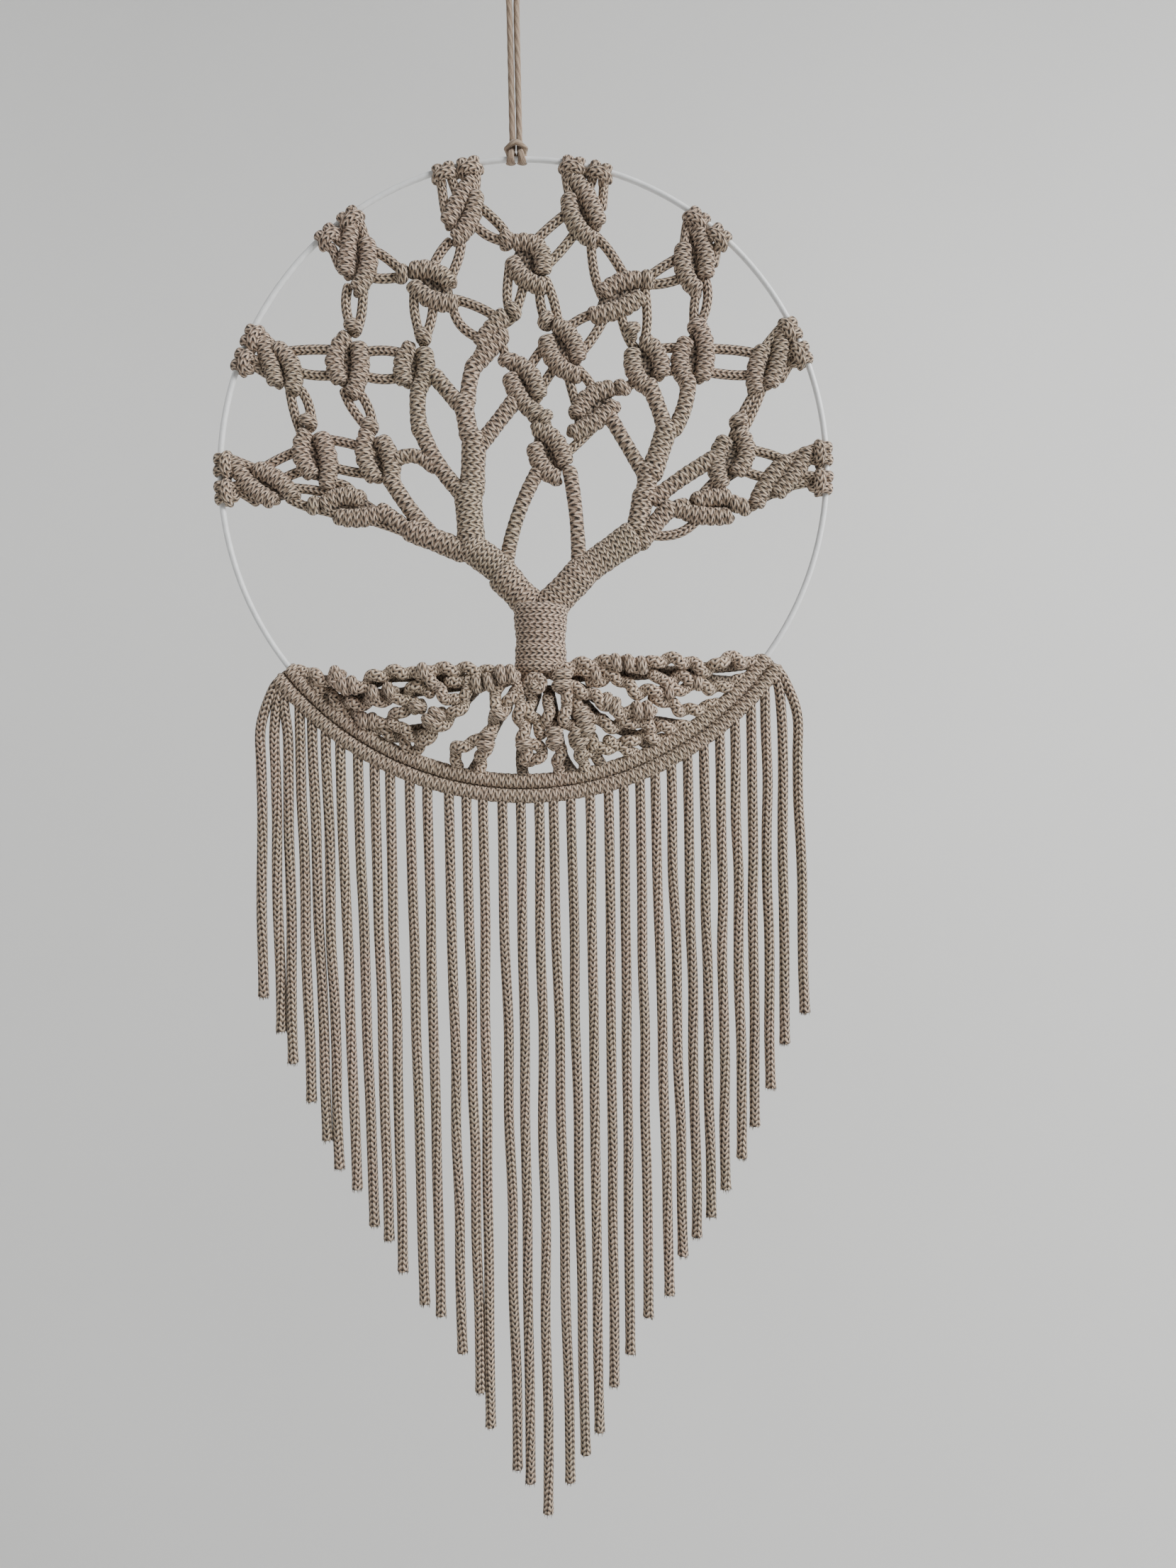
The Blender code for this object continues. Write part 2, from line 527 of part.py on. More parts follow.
def main():
    clear_scene()
    parts = collection("macrame_dreamcatcher")
    cutters = collection("cutters")
    cotton = {name: finish(f"cotton_{name}", (0.72, 0.62, 0.52), 0.95)
              for name in ("tree", "roots", "fringe")}
    string = {name: finish(f"string_{name}", (0.76, 0.68, 0.58), 0.95)
              for name in ("loop", "hitch")}
    clearance = make_clearance(cutters)
    make_hoop(parts, finish("painted_wire", (0.86, 0.85, 0.83), 0.45))
    make_loop(parts, string["loop"])
    make_hitch(parts, cutters, clearance, string["hitch"])
    make_tree(parts, cutters, clearance, cotton["tree"])
    make_roots(parts, cutters, clearance, cotton["roots"])
    make_fringe(parts, cutters, cotton["fringe"])


main()
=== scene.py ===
"""The looks of the macrame dreamcatcher: every cord is swept along the way it runs.

Tables are in millimetres from the hoop's centre, x to the right and z up from the front, as in
the part's source. The front faces -Y.
"""
import math
from collections import namedtuple

import bpy
import numpy as np
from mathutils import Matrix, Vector


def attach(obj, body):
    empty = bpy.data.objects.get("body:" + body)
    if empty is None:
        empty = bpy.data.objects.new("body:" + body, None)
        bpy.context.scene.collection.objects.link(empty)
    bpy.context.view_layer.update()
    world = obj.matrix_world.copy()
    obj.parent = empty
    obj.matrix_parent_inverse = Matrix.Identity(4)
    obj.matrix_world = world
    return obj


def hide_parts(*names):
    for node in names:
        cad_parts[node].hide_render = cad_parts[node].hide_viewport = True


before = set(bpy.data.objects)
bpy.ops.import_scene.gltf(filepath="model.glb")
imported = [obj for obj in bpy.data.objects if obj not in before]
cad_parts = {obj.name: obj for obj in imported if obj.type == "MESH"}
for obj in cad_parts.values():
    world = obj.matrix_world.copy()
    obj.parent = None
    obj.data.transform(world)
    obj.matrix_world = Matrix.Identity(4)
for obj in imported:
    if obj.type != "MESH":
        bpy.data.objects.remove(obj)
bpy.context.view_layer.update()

MM = 0.001
RANDOM = np.random.default_rng(7)

# Driving sizes in millimetres, as in the part's source, but the wire as thick as it shows
HOOP_HALF_WIDTH = 148.1
HOOP_HALF_HEIGHT = 151.9
WIRE = 2.9
LOOP_RISE = 125.0
HOOP_Z = -(LOOP_RISE + HOOP_HALF_HEIGHT)
CORD = 5.0
ROOT = 5.9
ROOT_PITCH = 3.0
HOOK_START = -120.0
HOOK_TURNS = 1.15
CURL = 1.25
CURL_PITCH = 11.0
STRING = 3.1
STRING_TWIST = 26.0
BAR = 9.4
BAND = 7.0
BAND_SWELL = 0.5
BAND_HALF_ANGLE = math.radians(51.6)
GAP = 0.3
BACK = 8.0

# How the cords are wrapped: pitch, half thickness, and how far each turn flattens on the next
Wrap = namedtuple("Wrap", "pitch half_out overlap columns")
BAR_WRAP = Wrap(3.9, 1.95, 1.45, 1.2)
LIMB_WRAP = Wrap(4.0, 1.9, 1.75, 1.2)
BAND_WRAP = Wrap(3.5, 1.5, 1.5, 1.2)
BEAD_WRAP = Wrap(5.2, 2.4, 1.1, 1.2)
ROOT_WRAP = Wrap(4.7, 2.4, 1.1, 1.2)
FRONT = np.array((0.0, -1.0, 0.0))
END_TUCK = 0.6
CORE_SHRINK = 1.35
# The core under the wraps is darkened: painted shade.
CORE_PAINTED_SHADE = -5.0

# The stitches and holes of the braid, and the strands of the twisted string
STITCH_COLUMNS = 5
STITCH = 2.7
LEG_SLANT = 0.9
OPEN_HOLE = 0.33
TIGHT_HOLE = 0.31
ROOT_HOLE = TIGHT_HOLE * 0.88
PLAIN_COLUMNS = 0.8
TONE_STEP = 0.07
STRAND_DEPTH = 0.1
STRAND_PITCH = 24.0
WOUND_DEPTH = 0.07

# The cords inside a leaf and between the leaves, and the beads
INNER_BACK = 1.8
INNER_SHARES = (0.2, 0.4, 0.6, 0.8)
LEAF_BOW = 0.7
LINK_BOW = 1.3
LINK_PAIR = 14.0
BEAD_REACH = 7.5
BEAD_SPREAD = 0.3
BEAD_WIDTH = 9.6
# The cords inside a leaf are darkened: painted shade in the leaf's slit.
INNER_PAINTED_SHADE = -7.0
RUN_STEP = 1.2

Run = namedtuple("Run", "x1 z1 x2 z2 bow", defaults=(0,))
Limb = namedtuple("Limb", "x1 z1 x2 z2 bow width")
Heads = namedtuple("Heads", "near far x1 z1 x2 z2")
Strand = namedtuple("Strand", "top_x end_x end_z")
Knot = namedtuple("Knot", "x z direction turns width layer")

# The two bars of each leaf knot that hangs from the hoop
RIM_LEAVES = {
    "left_top": (Run(-21.5, 142.5, -34.5, 121), Run(-20.5, 136, -31, 113.5, 2.5)),
    "left_high": (Run(-80, 123.5, -84.5, 97.5), Run(-74.5, 114, -80, 89.5, 3)),
    "left_side": (Run(-127, 69, -119.5, 44.5, 1), Run(-120, 63, -112, 41.5, 3.5)),
    "left_low": (Run(-140.5, 6.5, -122, -12.5, -2), Run(-130.5, 3.5, -112.5, -10.5, 1.5)),
    "right_top": (Run(25.5, 144, 39.5, 119, 1.5), Run(25.5, 133.5, 37.5, 111, -3.5)),
    "right_high": (Run(85.5, 118.5, 91, 92.5, 2), Run(81, 108, 87.5, 85.5, -3)),
    "right_side": (Run(127.5, 64.5, 121, 38.5, 1), Run(119, 57, 114.5, 35.5, -1.5)),
    "right_low": (Run(139.5, 6.5, 123, -14.5, 0.5), Run(129.5, 2.5, 113, -20, -1)),
}

# The two lark's heads of each rim leaf, in degrees from the top, and the cord behind its bars
RIM_HEADS = {
    "left_top": Heads(-9.1, -13.9, -37, 141, -35.5, 128),
    "left_high": Heads(-34.0, -39.4, -91, 110.5, -87.5, 101.5),
    "left_side": Heads(-63.3, -68.1, -134, 56, -124, 50),
    "left_low": Heads(-87.9, -93.0, -140.5, -6.5, -131, -12.5),
    "right_top": Heads(10.9, 16.1, 42.5, 139.5, 41.5, 128),
    "right_high": Heads(36.8, 42.0, 97, 106.5, 95.5, 99),
    "right_side": Heads(64.3, 69.2, 132.5, 51, 127, 42),
    "right_low": Heads(88.3, 93.6, 139.5, -9, 127.5, -11),
}

# The two bars of each leaf knot inside the tree
INNER_LEAVES = {
    "crown_centre": (Run(-2.5, 111, 11.5, 96, 6.5), Run(-3.5, 103, 12.5, 89.5, -2.5)),
    "crown_left": (Run(-52.5, 98.5, -33.5, 92, 2.5), Run(-52, 92, -31, 82.5, -2.5)),
    "crown_right": (Run(59.5, 91.5, 40.5, 85.5, -1.5), Run(59.5, 84, 34.5, 75, 1.5)),
    "mid_left_1": (Run(-84.5, 67, -88, 45, -4), Run(-79.5, 63.5, -83, 39, 2)),
    "mid_left_2": (Run(-53, 61.5, -56.5, 43.5, -2.5), Run(-47.5, 60, -50, 41, 1.5)),
    "mid_left_3": (Run(-7.5, 76, -20, 61), Run(-7.5, 67.5, -23, 51, -1)),
    "mid_right_1": (Run(86.5, 70, 88, 42.5, 2.5), Run(81.5, 61.5, 81, 41, -3)),
    "mid_right_2": (Run(60, 62, 68.5, 44.5, 2.5), Run(55, 57.5, 63, 38, -3)),
    "mid_centre": (Run(17, 71, 28, 53, 2.5), Run(12.5, 64.5, 28, 45.5, -3.5)),
    "heart_left": (Run(-5.5, 53.5, 8.5, 35.5, 3), Run(-5.5, 46.5, 7, 27.5, -1.5)),
    "heart_right": (Run(44.5, 39, 26, 26.5, -2.5), Run(45.5, 31.5, 24, 17.5, 1)),
    "heart_low": (Run(6, 20.5, 20.5, 2.5, 3), Run(6, 12, 17, -4.5, -2.5)),
    "low_left_1": (Run(-105.5, 21, -102.5, -0.5, -3.5), Run(-99, 19.5, -96.5, -6.5, 2)),
    "low_left_2": (Run(-75.5, 20.5, -72, -3, -3), Run(-69.5, 17, -64.5, -3, 1.5)),
    "low_left_3": (Run(-98, -15.5, -79.5, -12.5, 2.5), Run(-91.5, -20.5, -68, -19, -1)),
    "low_right_1": (Run(105.5, 17, 103.5, -4, 4), Run(99.5, 13, 97.5, -10.5, -3.5)),
    "low_right_2": (Run(100.5, -15.5, 83.5, -17), Run(100.5, -24.5, 73.5, -20, 1)),
}

# Small one-hitch knots where a leaf's pair of bars begins, each at an angle from upright
BEADS = (
    (-5.5, 112.5, 45), (-57, 97, 70), (62.5, 91.5, 100), (-81.5, 72, 0), (-47.5, 66.5, 20),
    (-3, 78, 30), (86, 68.5, 0), (54.5, 67, -20), (12.5, 73, -30), (-6.5, 53.5, -30),
    (49, 39, 60), (6.5, 27.5, -20), (11, 25, -30), (-74.5, 23.5, 0), (-104.5, 26, 0),
    (-102.5, -15, 80), (105.5, 21.5, 0), (103, -19, 90), (107, -20.5, 90),
)

# The plain cords from leaf to leaf
LINKS = (
    Run(-17, 128.5, -2, 114), Run(-20.5, 120.5, -5, 112),
    Run(-34, 113, -43, 99), Run(-28, 114, -34, 95),
    Run(-74, 110.5, -52, 99), Run(-76, 98, -54, 96.5),
    Run(-84, 92, -85, 69), Run(-76.5, 90, -77, 68),
    Run(-114, 61, -86, 60.5), Run(-112, 52, -86, 49),
    Run(-113.5, 42, -107, 18), Run(-108, 42, -100, 22),
    Run(-78, 59.5, -56, 58), Run(-79, 49, -58, 47.5),
    Run(-87, 41, -78, 19), Run(-80, 41, -71, 22),
    Run(-51.5, 88, -52, 62), Run(-42.5, 86, -47, 62),
    Run(-32, 85, -10, 74.5), Run(-33, 83, -18, 65, -3),
    Run(-4.5, 100, -8.5, 74), Run(2, 95, 0, 77), Run(0, 77, -9, 72),
    Run(10.5, 92, 12, 71), Run(13, 93, 19, 69),
    Run(26, 127, 4, 108), Run(30, 119, 12, 99),
    Run(35.5, 113, 41, 84), Run(38, 114, 54, 90),
    Run(83, 105, 56, 90.5), Run(83, 94.5, 59, 87),
    Run(88, 89, 84, 64), Run(90, 94, 88, 66, 2),
    Run(36, 76, 20, 67), Run(44, 80, 27, 55),
    Run(48.5, 80, 56, 59), Run(58, 88, 60, 60),
    Run(88, 58, 118, 54), Run(89, 47, 117, 45),
    Run(62, 58, 82, 58), Run(67, 48.5, 82, 48),
    Run(115, 37, 102, 12), Run(119, 41, 106, 14),
    Run(102, 10, 130, 1), Run(104, 0, 122, -6),
    Run(-10, 71, -6, 52), Run(16, 65, 3, 48), Run(20, 54, 8, 36),
    Run(22, 56, 27, 30), Run(28, 49, 36, 34),
    Run(60, 45, 44, 36), Run(33, 19, 16, 4),
    Run(-100, 18, -73, 10), Run(-96, 5, -73, 0),
    Run(-128, 4, -103, 14), Run(-122, -4, -102, 4),
    Run(-119, -6, -95, -9), Run(-115, -11, -92, -19),
    Run(-98, -5, -82, -12, 5), Run(-78, -21, -58, -29),
    Run(97, -4, 84, -17), Run(86, -24, 63, -33, 3.5),
)

# The wrapped branches, in stepped lengths from the trunk outwards
LIMBS = (
    Limb(7, -68, 6.5, -99, 0, 25.5),
    Limb(2, -66.5, -12, -50.5, 0, 16.5), Limb(-13, -47.5, -27.5, -36.5, 0, 16),
    Limb(-26, -37, -27.5, -8, 0, 14), Limb(-25.2, -10, -23.5, 18, 0, 12.5),
    Limb(-26, 17, -29, 36, 0, 10), Limb(-30, 32, -43, 48, 0, 8.5),
    Limb(-26.5, 32, -22.5, 53, 1, 8.5), Limb(-20.5, 13, -4, 33.5, 0, 8.5),
    Limb(-50, 43, -50, 20, -1, 8.5), Limb(-50.5, 24, -30, -11, -2.5, 8.5),
    Limb(-63.5, 5.5, -44.5, 3, 4, 7.5), Limb(-65.5, -2, -46.5, -29.5, -1, 8.5),
    Limb(-70, -18, -53, -30.5, 0, 8.5), Limb(-56, -28, -29, -39.5, 0, 12),
    Limb(-9.5, -47, 7.5, 0, 2.5, 7.5), Limb(22.5, 0, 26, -45.5, 1, 7.5),
    Limb(9.5, -69, 27, -51.5, 0, 17), Limb(24.5, -52.5, 53, -33.5, 0, 15.5),
    Limb(54.5, -31, 58.8, -12, 0, 11), Limb(59.3, -16, 61, 0, 0, 10.5),
    Limb(59, -3.5, 42.5, 26, 0, 7.5), Limb(62.5, -3.5, 71, 20, 0, 11.5),
    Limb(69.8, 18, 62, 41, -0.5, 8.5), Limb(74, 18, 81.5, 43.5, -2, 8.5),
    Limb(62.5, -16.5, 94, 4, 1, 8.5), Limb(56.5, -37, 71.5, -19.5, 0.5, 9.5),
    Limb(69.5, -21.5, 79, -18.5, 0, 8),
)

# The roots: how far each lies in front of the others, and the way it runs
ROOTS = {
    "back_1": (-2, (-113, -97), (-98.5, -101), (-82, -105), (-66, -100), (-42, -101), (-12, -104)),
    "back_2": (-2, (-110, -102), (-92.5, -110), (-71, -109), (-52.5, -107), (-24, -104)),
    "back_4": (-2, (-82, -128), (-71, -124), (-58, -126), (-42, -122), (-26, -108)),
    "back_6": (-2, (-30, -149), (-24, -140), (-16, -124), (-6, -108)),
    "back_7": (-2, (-3, -152), (-4, -140), (-1, -124), (4, -110)),
    "back_8": (-2, (22, -150), (16, -140), (13, -124), (10, -108)),
    "back_9": (-2, (36, -147), (29, -134), (22, -118), (16, -104)),
    "back_10": (-2, (62, -139), (50, -130), (36, -124), (26, -114), (16, -105)),
    "back_11": (-2, (82, -128), (66, -125), (50, -122), (36, -114), (22, -106)),
    "back_13": (-2, (106, -106), (92, -105), (76, -102), (60, -99), (42, -99), (20, -103)),
    "back_14": (-2, (115, -96), (100, -98), (84, -99), (64, -101), (40, -102)),
    "foot": (1, (-14, -103), (-4, -101), (6, -100.5), (18, -102)),
    "r1": (3, (-112, -95), (-98.5, -100), (-90.5, -103), (-82, -105), (-74.5, -100.5),
           (-66, -98.5), (-55.5, -98.5), (-50, -101)),
    "r2": (2.5, (-108, -101), (-100.5, -104.5), (-92.5, -111.5), (-83, -112.5), (-71, -111),
           (-60, -110.5), (-52.5, -105), (-46.5, -109)),
    "r3": (2, (-98, -116), (-88, -116), (-79, -121.5), (-71, -122), (-62, -117.5),
           (-56, -113), (-51, -116)),
    "r4a": (3, (-80, -128), (-71, -125.5), (-60.5, -132.5), (-55, -142)),
    "r4b": (4, (-66, -122), (-62, -125), (-53, -129), (-46, -128)),
    "r5": (4.5, (-62, -139), (-56, -135.5), (-46.5, -127.5), (-38, -121), (-30, -113),
           (-28, -103.5)),
    "r9": (4, (-49, -98.5), (-41, -97.5), (-28, -98), (-12, -100)),
    "r9_hook": (5, (-50, -99), (-44, -104), (-40, -111), (-34, -112)),
    "r10": (3.5, (-37.5, -103.5), (-29, -103.5), (-24, -105), (-18, -104.5), (-6, -103)),
    "c2": (5, (-4, -106), (-8.5, -114), (-13, -117), (-16, -112.5), (-13, -106)),
    "c3": (4, (-6, -110), (-12, -118), (-18, -125), (-21, -135), (-24, -142), (-25, -150)),
    "c4": (5, (-21, -130), (-25, -132), (-32, -134), (-36.5, -137.5), (-35, -144)),
    "c5": (5, (-3, -108), (-4, -117), (-2.5, -128.5), (-2, -137), (0, -143), (5, -140),
           (5, -135), (1, -134)),
    "c6": (3, (2, -108), (2, -113), (0, -116.5), (3.5, -122), (6, -130)),
    "c7": (5, (15.5, -101), (17, -107), (20, -114), (17, -119.5), (20, -126), (24, -130.5),
           (22, -135), (25, -139), (26.5, -150)),
    "c8": (4, (10, -112), (10, -123), (12.5, -127.5), (12.5, -133), (14.5, -136), (13.5, -150)),
    "c9": (3, (22, -110), (25.5, -119.5), (27, -125), (29, -130.5), (33, -142)),
    "c11": (4, (24, -138), (28.5, -138.5), (41.5, -136), (52, -140)),
    "c12": (5, (18, -106), (24.5, -108.5), (34, -113.5), (44, -120.5), (50, -119)),
    "c13": (4, (26, -119), (33, -123), (41, -126.5), (50, -124.5), (58, -126)),
    "c14": (3, (38, -133), (44.5, -135.5), (50, -132.5), (56.5, -131.5), (70, -134)),
    "d1": (5, (14, -100), (21, -97.5), (33, -96.5), (43.5, -96), (55.5, -98), (64.5, -95.5),
           (76, -96.5), (87, -100.5), (96, -95), (107.5, -97), (113, -95)),
    "d2": (4, (30, -105), (36.5, -104.5), (42, -102.5), (51.5, -110), (57, -110.5),
           (64.5, -109.5), (73.5, -109.5), (80, -107)),
    "d3": (4, (60, -102), (65.5, -105.5), (73.5, -104), (81.5, -105.5), (84, -108),
           (92.5, -109), (98.5, -106.5), (106, -104)),
    "d4": (3, (60, -113), (68, -116), (75.5, -119.5), (81.5, -119), (92, -116)),
    "d5": (3, (50, -122), (55.5, -124), (62, -128), (66.5, -127), (80, -127)),
    "d8": (4, (20, -99), (28, -100), (35.5, -99.5), (41, -102)),
}

# Short windings on the roots, with the direction of the cord inside, in degrees from upright
ROOT_KNOTS = (
    Knot(-86, -104, 85, 2, 10, 4), Knot(-74, -108, 80, 1, 9.5, 4), Knot(-66, -107, 80, 1, 9.5, 4),
    Knot(-78, -121, 95, 2, 9.5, 4), Knot(-53, -115, 30, 1, 9.5, 4), Knot(-45, -120.5, 45, 2, 10, 6),
    Knot(-24, -105, 90, 1, 10, 5), Knot(-18, -104.5, 90, 1, 10, 6), Knot(-49, -98.5, 90, 1, 9, 6),
    Knot(-9.5, -101, 90, 2, 10, 8), Knot(-14, -120, 35, 1, 9, 6), Knot(-20, -132, 15, 2, 9, 6),
    Knot(17, -104, 5, 2, 10.5, 7), Knot(24, -132, -20, 2, 9.5, 6), Knot(12.5, -131, 0, 2, 9, 6),
    Knot(27, -124, -15, 3, 9.5, 5), Knot(53, -119, 90, 1, 9.5, 6), Knot(58, -119, 90, 1, 9.5, 6),
    Knot(43, -96.5, 90, 1, 9.5, 6), Knot(49, -97, 90, 1, 9.5, 6), Knot(55, -98, 95, 1, 9.5, 6),
    Knot(33, -102, 90, 1, 9.5, 5), Knot(-2, -134, 0, 1, 9, 6), Knot(82, -106, 90, 1, 9.5, 4),
    Knot(40, -116, -60, 2, 9.5, 5), Knot(68, -110, 90, 1, 9, 4), Knot(-92, -98, 80, 1, 9, 2),
)

# The strands of the fringe, from left to right
FRINGE = (
    Strand(-131, -133, -254), Strand(-124.5, -124.5, -271), Strand(-118, -119, -286.5),
    Strand(-112, -110.5, -305.5), Strand(-106, -103, -324.5), Strand(-99.5, -97.5, -338.5),
    Strand(-92.5, -89, -349), Strand(-84, -81, -367), Strand(-76, -74, -374),
    Strand(-68.5, -67.5, -389.5), Strand(-59, -57.5, -405.5), Strand(-50.5, -49.5, -411.5),
    Strand(-40, -39.5, -430), Strand(-31.5, -31, -449), Strand(-23.5, -26.5, -466.5),
    Strand(-14, -13.5, -487), Strand(-5, -7.5, -494), Strand(4, 1, -509),
    Strand(11, 12, -494), Strand(19.5, 19.5, -481), Strand(29, 26.5, -470),
    Strand(38, 34.5, -447.5), Strand(45.5, 42.5, -432), Strand(53.5, 52, -414.5),
    Strand(61, 62.5, -404), Strand(69, 69.5, -385), Strand(77, 76.5, -376),
    Strand(85, 83.5, -366), Strand(93, 91, -353), Strand(100.5, 99.5, -338),
    Strand(108.5, 106, -322.5), Strand(115.5, 114, -304), Strand(123.5, 121.5, -282.5),
    Strand(131, 131.5, -267.5),
)
FRINGE_TURN = 18.0
FRINGE_SPREAD = 0.985
FRINGE_CROWD = math.radians(1.35)
FIBRES = 26

# The hanging loop's half route: x and z above the nail's point
STRING_SPACING = 3.4
HITCH_TOP = 9.0
LOOP_BEND = 7.75
LOOP_SIDE = ((1.7, -112), (1.7, -88), (1.7, -66), (1.8, -50), (2.6, -35), (4.8, -21), (7.0, -11.5))


# Paths

def on_hoop(angle, out=0.0):
    """A point on the hoop, or out from it, at an angle from the top, clockwise from the front."""
    x = (HOOP_HALF_WIDTH + out) * math.sin(angle)
    return np.array((x, 0.0, (HOOP_HALF_HEIGHT + out) * math.cos(angle)))


def lengths_along(path):
    steps = np.linalg.norm(np.diff(path, axis=0), axis=1)
    return np.concatenate(([0.0], np.cumsum(steps)))


def evenly(path, step):
    """The same path with its points an even step apart."""
    path = np.asarray(path, float)
    travelled = lengths_along(path)
    wanted = np.linspace(0.0, travelled[-1], max(3, round(travelled[-1] / step) + 1))
    return np.stack([np.interp(wanted, travelled, path[:, axis]) for axis in range(3)], axis=1)


def smooth(points, step):
    """An even path along a curve through each of the points."""
    ends = np.asarray([points[0], *points, points[-1]], float)
    t = np.linspace(0.0, 1.0, 12, endpoint=False)[:, None]
    pieces = [0.5 * (2 * b + (c - a) * t + (2 * a - 5 * b + 4 * c - d) * t ** 2
                     + (3 * b - a - 3 * c + d) * t ** 3)
              for a, b, c, d in zip(ends, ends[1:], ends[2:], ends[3:])]
    return evenly(np.concatenate(pieces + [ends[-1:]]), step)


def bowed(run, y):
    """A run from end to end, bowed sideways at its middle."""
    start, end = np.array((run.x1, y, run.z1)), np.array((run.x2, y, run.z2))
    ahead = end - start
    span = np.linalg.norm(ahead)
    across = np.array((-ahead[2], 0.0, ahead[0])) / span
    t = np.linspace(0.0, 1.0, max(4, round(span / RUN_STEP)))[:, None]
    return start + ahead * t + across * run.bow * 4 * t * (1 - t)


def middle_of(run):
    return (run.x1 + run.x2) / 2, (run.z1 + run.z2) / 2


def parted(run, partner, amount):
    """The run, bowed a little more away from its partner."""
    (x, z), (other_x, other_z) = middle_of(run), middle_of(partner)
    side = (run.x2 - run.x1) * (z - other_z) - (run.z2 - run.z1) * (x - other_x)
    return run._replace(bow=run.bow + math.copysign(amount, side))


def directions(path, closed=False):
    if closed:
        ahead = np.roll(path, -1, axis=0) - np.roll(path, 1, axis=0)
    else:
        ahead = np.gradient(path, axis=0)
    return ahead / np.linalg.norm(ahead, axis=1, keepdims=True)


def squared(vectors, ahead):
    """The vectors turned square to the direction ahead."""
    flat = vectors - ahead * np.sum(vectors * ahead, axis=1, keepdims=True)
    return flat / np.linalg.norm(flat, axis=1, keepdims=True)


def carried(ahead):
    """Side vectors carried along a path without twisting."""
    first = FRONT if abs(ahead[0] @ FRONT) < 0.9 else np.array((1.0, 0.0, 0.0))
    side, result = first, []
    for direction in ahead:
        side = side - direction * (side @ direction)
        side = side / np.linalg.norm(side)
        result.append(side)
    return np.array(result)


# Cords

class Cords:
    """Swept cords joined in one mesh. Their UV map holds the way round and the way along."""

    CAP_TURNS = np.radians((30.0, 60.0))

    def __init__(self):
        self.points, self.quads, self.triangles = [], [], []
        self.quad_uvs, self.triangle_uvs, self.tones = [], [], []
        self.size = 0

    def sweep(self, path, half_out, half_side=None, outward=None, sides=12, twist=0.0,
              tone=0.0, cap=None, closed=False, columns=1.0, lobes=0.0, lobe_pitch=9.0,
              wound=0.0):
        path = np.asarray(path, float)
        count = len(path)
        ahead = directions(path, closed)
        out = carried(ahead) if outward is None else squared(outward, ahead)
        half_out = np.broadcast_to(half_out, (count,)).astype(float)
        half_side = half_out if half_side is None else np.broadcast_to(half_side, (count,))
        along = lengths_along(path)
        row = np.arange(count)
        shift, scale = np.zeros(count), np.ones(count)
        if not closed:
            cap = half_out.mean() * 0.8 if cap is None else cap
            rise, shrink = np.sin(self.CAP_TURNS) * cap, np.cos(self.CAP_TURNS)
            row = np.concatenate(([0, 0], row, [count - 1, count - 1]))
            shift = np.concatenate((-rise[::-1], shift, rise))
            scale = np.concatenate((shrink[::-1], scale, shrink))
        centre = path[row] + ahead[row] * shift[:, None]
        across = np.cross(ahead, out)
        turn = np.arange(sides) * 2 * math.pi / sides + math.pi
        reach = np.ones((len(row), sides))
        if lobes:
            spin = 2 * math.pi * along[row] / lobe_pitch
            reach = 1 - lobes * (1 - np.abs(np.sin(1.5 * (turn[None, :] + spin[:, None]))))
        if wound:
            place = along[row][:, None] / wound + turn[None, :] / (2 * math.pi)
            reach = 1 - WOUND_DEPTH * (1 - np.abs(np.sin(math.pi * place)) ** 0.8)
        first = (np.cos(turn)[None, :] * (half_out[row] * scale)[:, None] * reach)[..., None]
        second = (np.sin(turn)[None, :] * (half_side[row] * scale)[:, None] * reach)[..., None]
        rings = centre[:, None, :] + first * out[row][:, None, :] + second * across[row][:, None, :]
        self.join_rings(rings, along[row] + shift, twist, closed, tone, columns)
        if wound:
            self.turn_uvs(2 * math.pi * half_out.mean(), wound)
        if not closed:
            self.fill_end(path[0] - ahead[0] * cap, 0, len(row), sides, along[0] - cap, tone)
            self.fill_end(path[-1] + ahead[-1] * cap, len(row) - 1, len(row), sides,
                          along[-1] + cap, tone)
        self.size += len(row) * sides + (0 if closed else 2)

    def join_rings(self, rings, along, twist, closed, tone, columns):
        rows, sides = rings.shape[:2]
        last = rows if closed else rows - 1
        i, j = np.meshgrid(np.arange(last), np.arange(sides), indexing="ij")
        i, j = i.ravel(), j.ravel()
        i2, j2 = (i + 1) % rows, (j + 1) % sides
        corners = np.stack((i * sides + j, i * sides + j2, i2 * sides + j2, i2 * sides + j), axis=1)
        length = along if not closed else np.append(along, along[-1] + along[1])
        v1, v2 = length[i], length[i + 1] if closed else length[i2]
        u1, u2 = j / sides * columns, (j + 1) / sides * columns
        uvs = np.stack((u1 + twist * v1, v1, u2 + twist * v1, v1, u2 + twist * v2, v2,
                        u1 + twist * v2, v2), axis=1)
        self.points.append(rings.reshape(-1, 3))
        self.tones.append(np.full(rows * sides, tone))
        self.quads.append(corners + self.size)
        self.quad_uvs.append(uvs.reshape(-1, 2))

    def turn_uvs(self, perimeter, pitch):
        """Turns the last cord's stitches to run round it, as on a cord that is wound over."""
        around, along = self.quad_uvs[-1].T
        columns = (along / pitch + around) / STITCH_COLUMNS
        self.quad_uvs[-1] = np.stack((columns, around * perimeter), axis=1)

    def fill_end(self, tip, row, rows, sides, along, tone):
        """A fan of triangles from the tip of a cord to its last ring."""
        j = np.arange(sides)
        ring, following = row * sides + j, row * sides + (j + 1) % sides
        tip_index = np.full(sides, rows * sides + (1 if row else 0))
        order = (tip_index, ring, following) if row else (tip_index, following, ring)
        self.points.append(tip[None, :])
        self.tones.append(np.array([tone]))
        self.triangles.append(np.stack(order, axis=1) + self.size)
        uvs = np.stack((j / sides, np.full(sides, along)) * 3, axis=1)
        self.triangle_uvs.append(uvs.reshape(-1, 2))

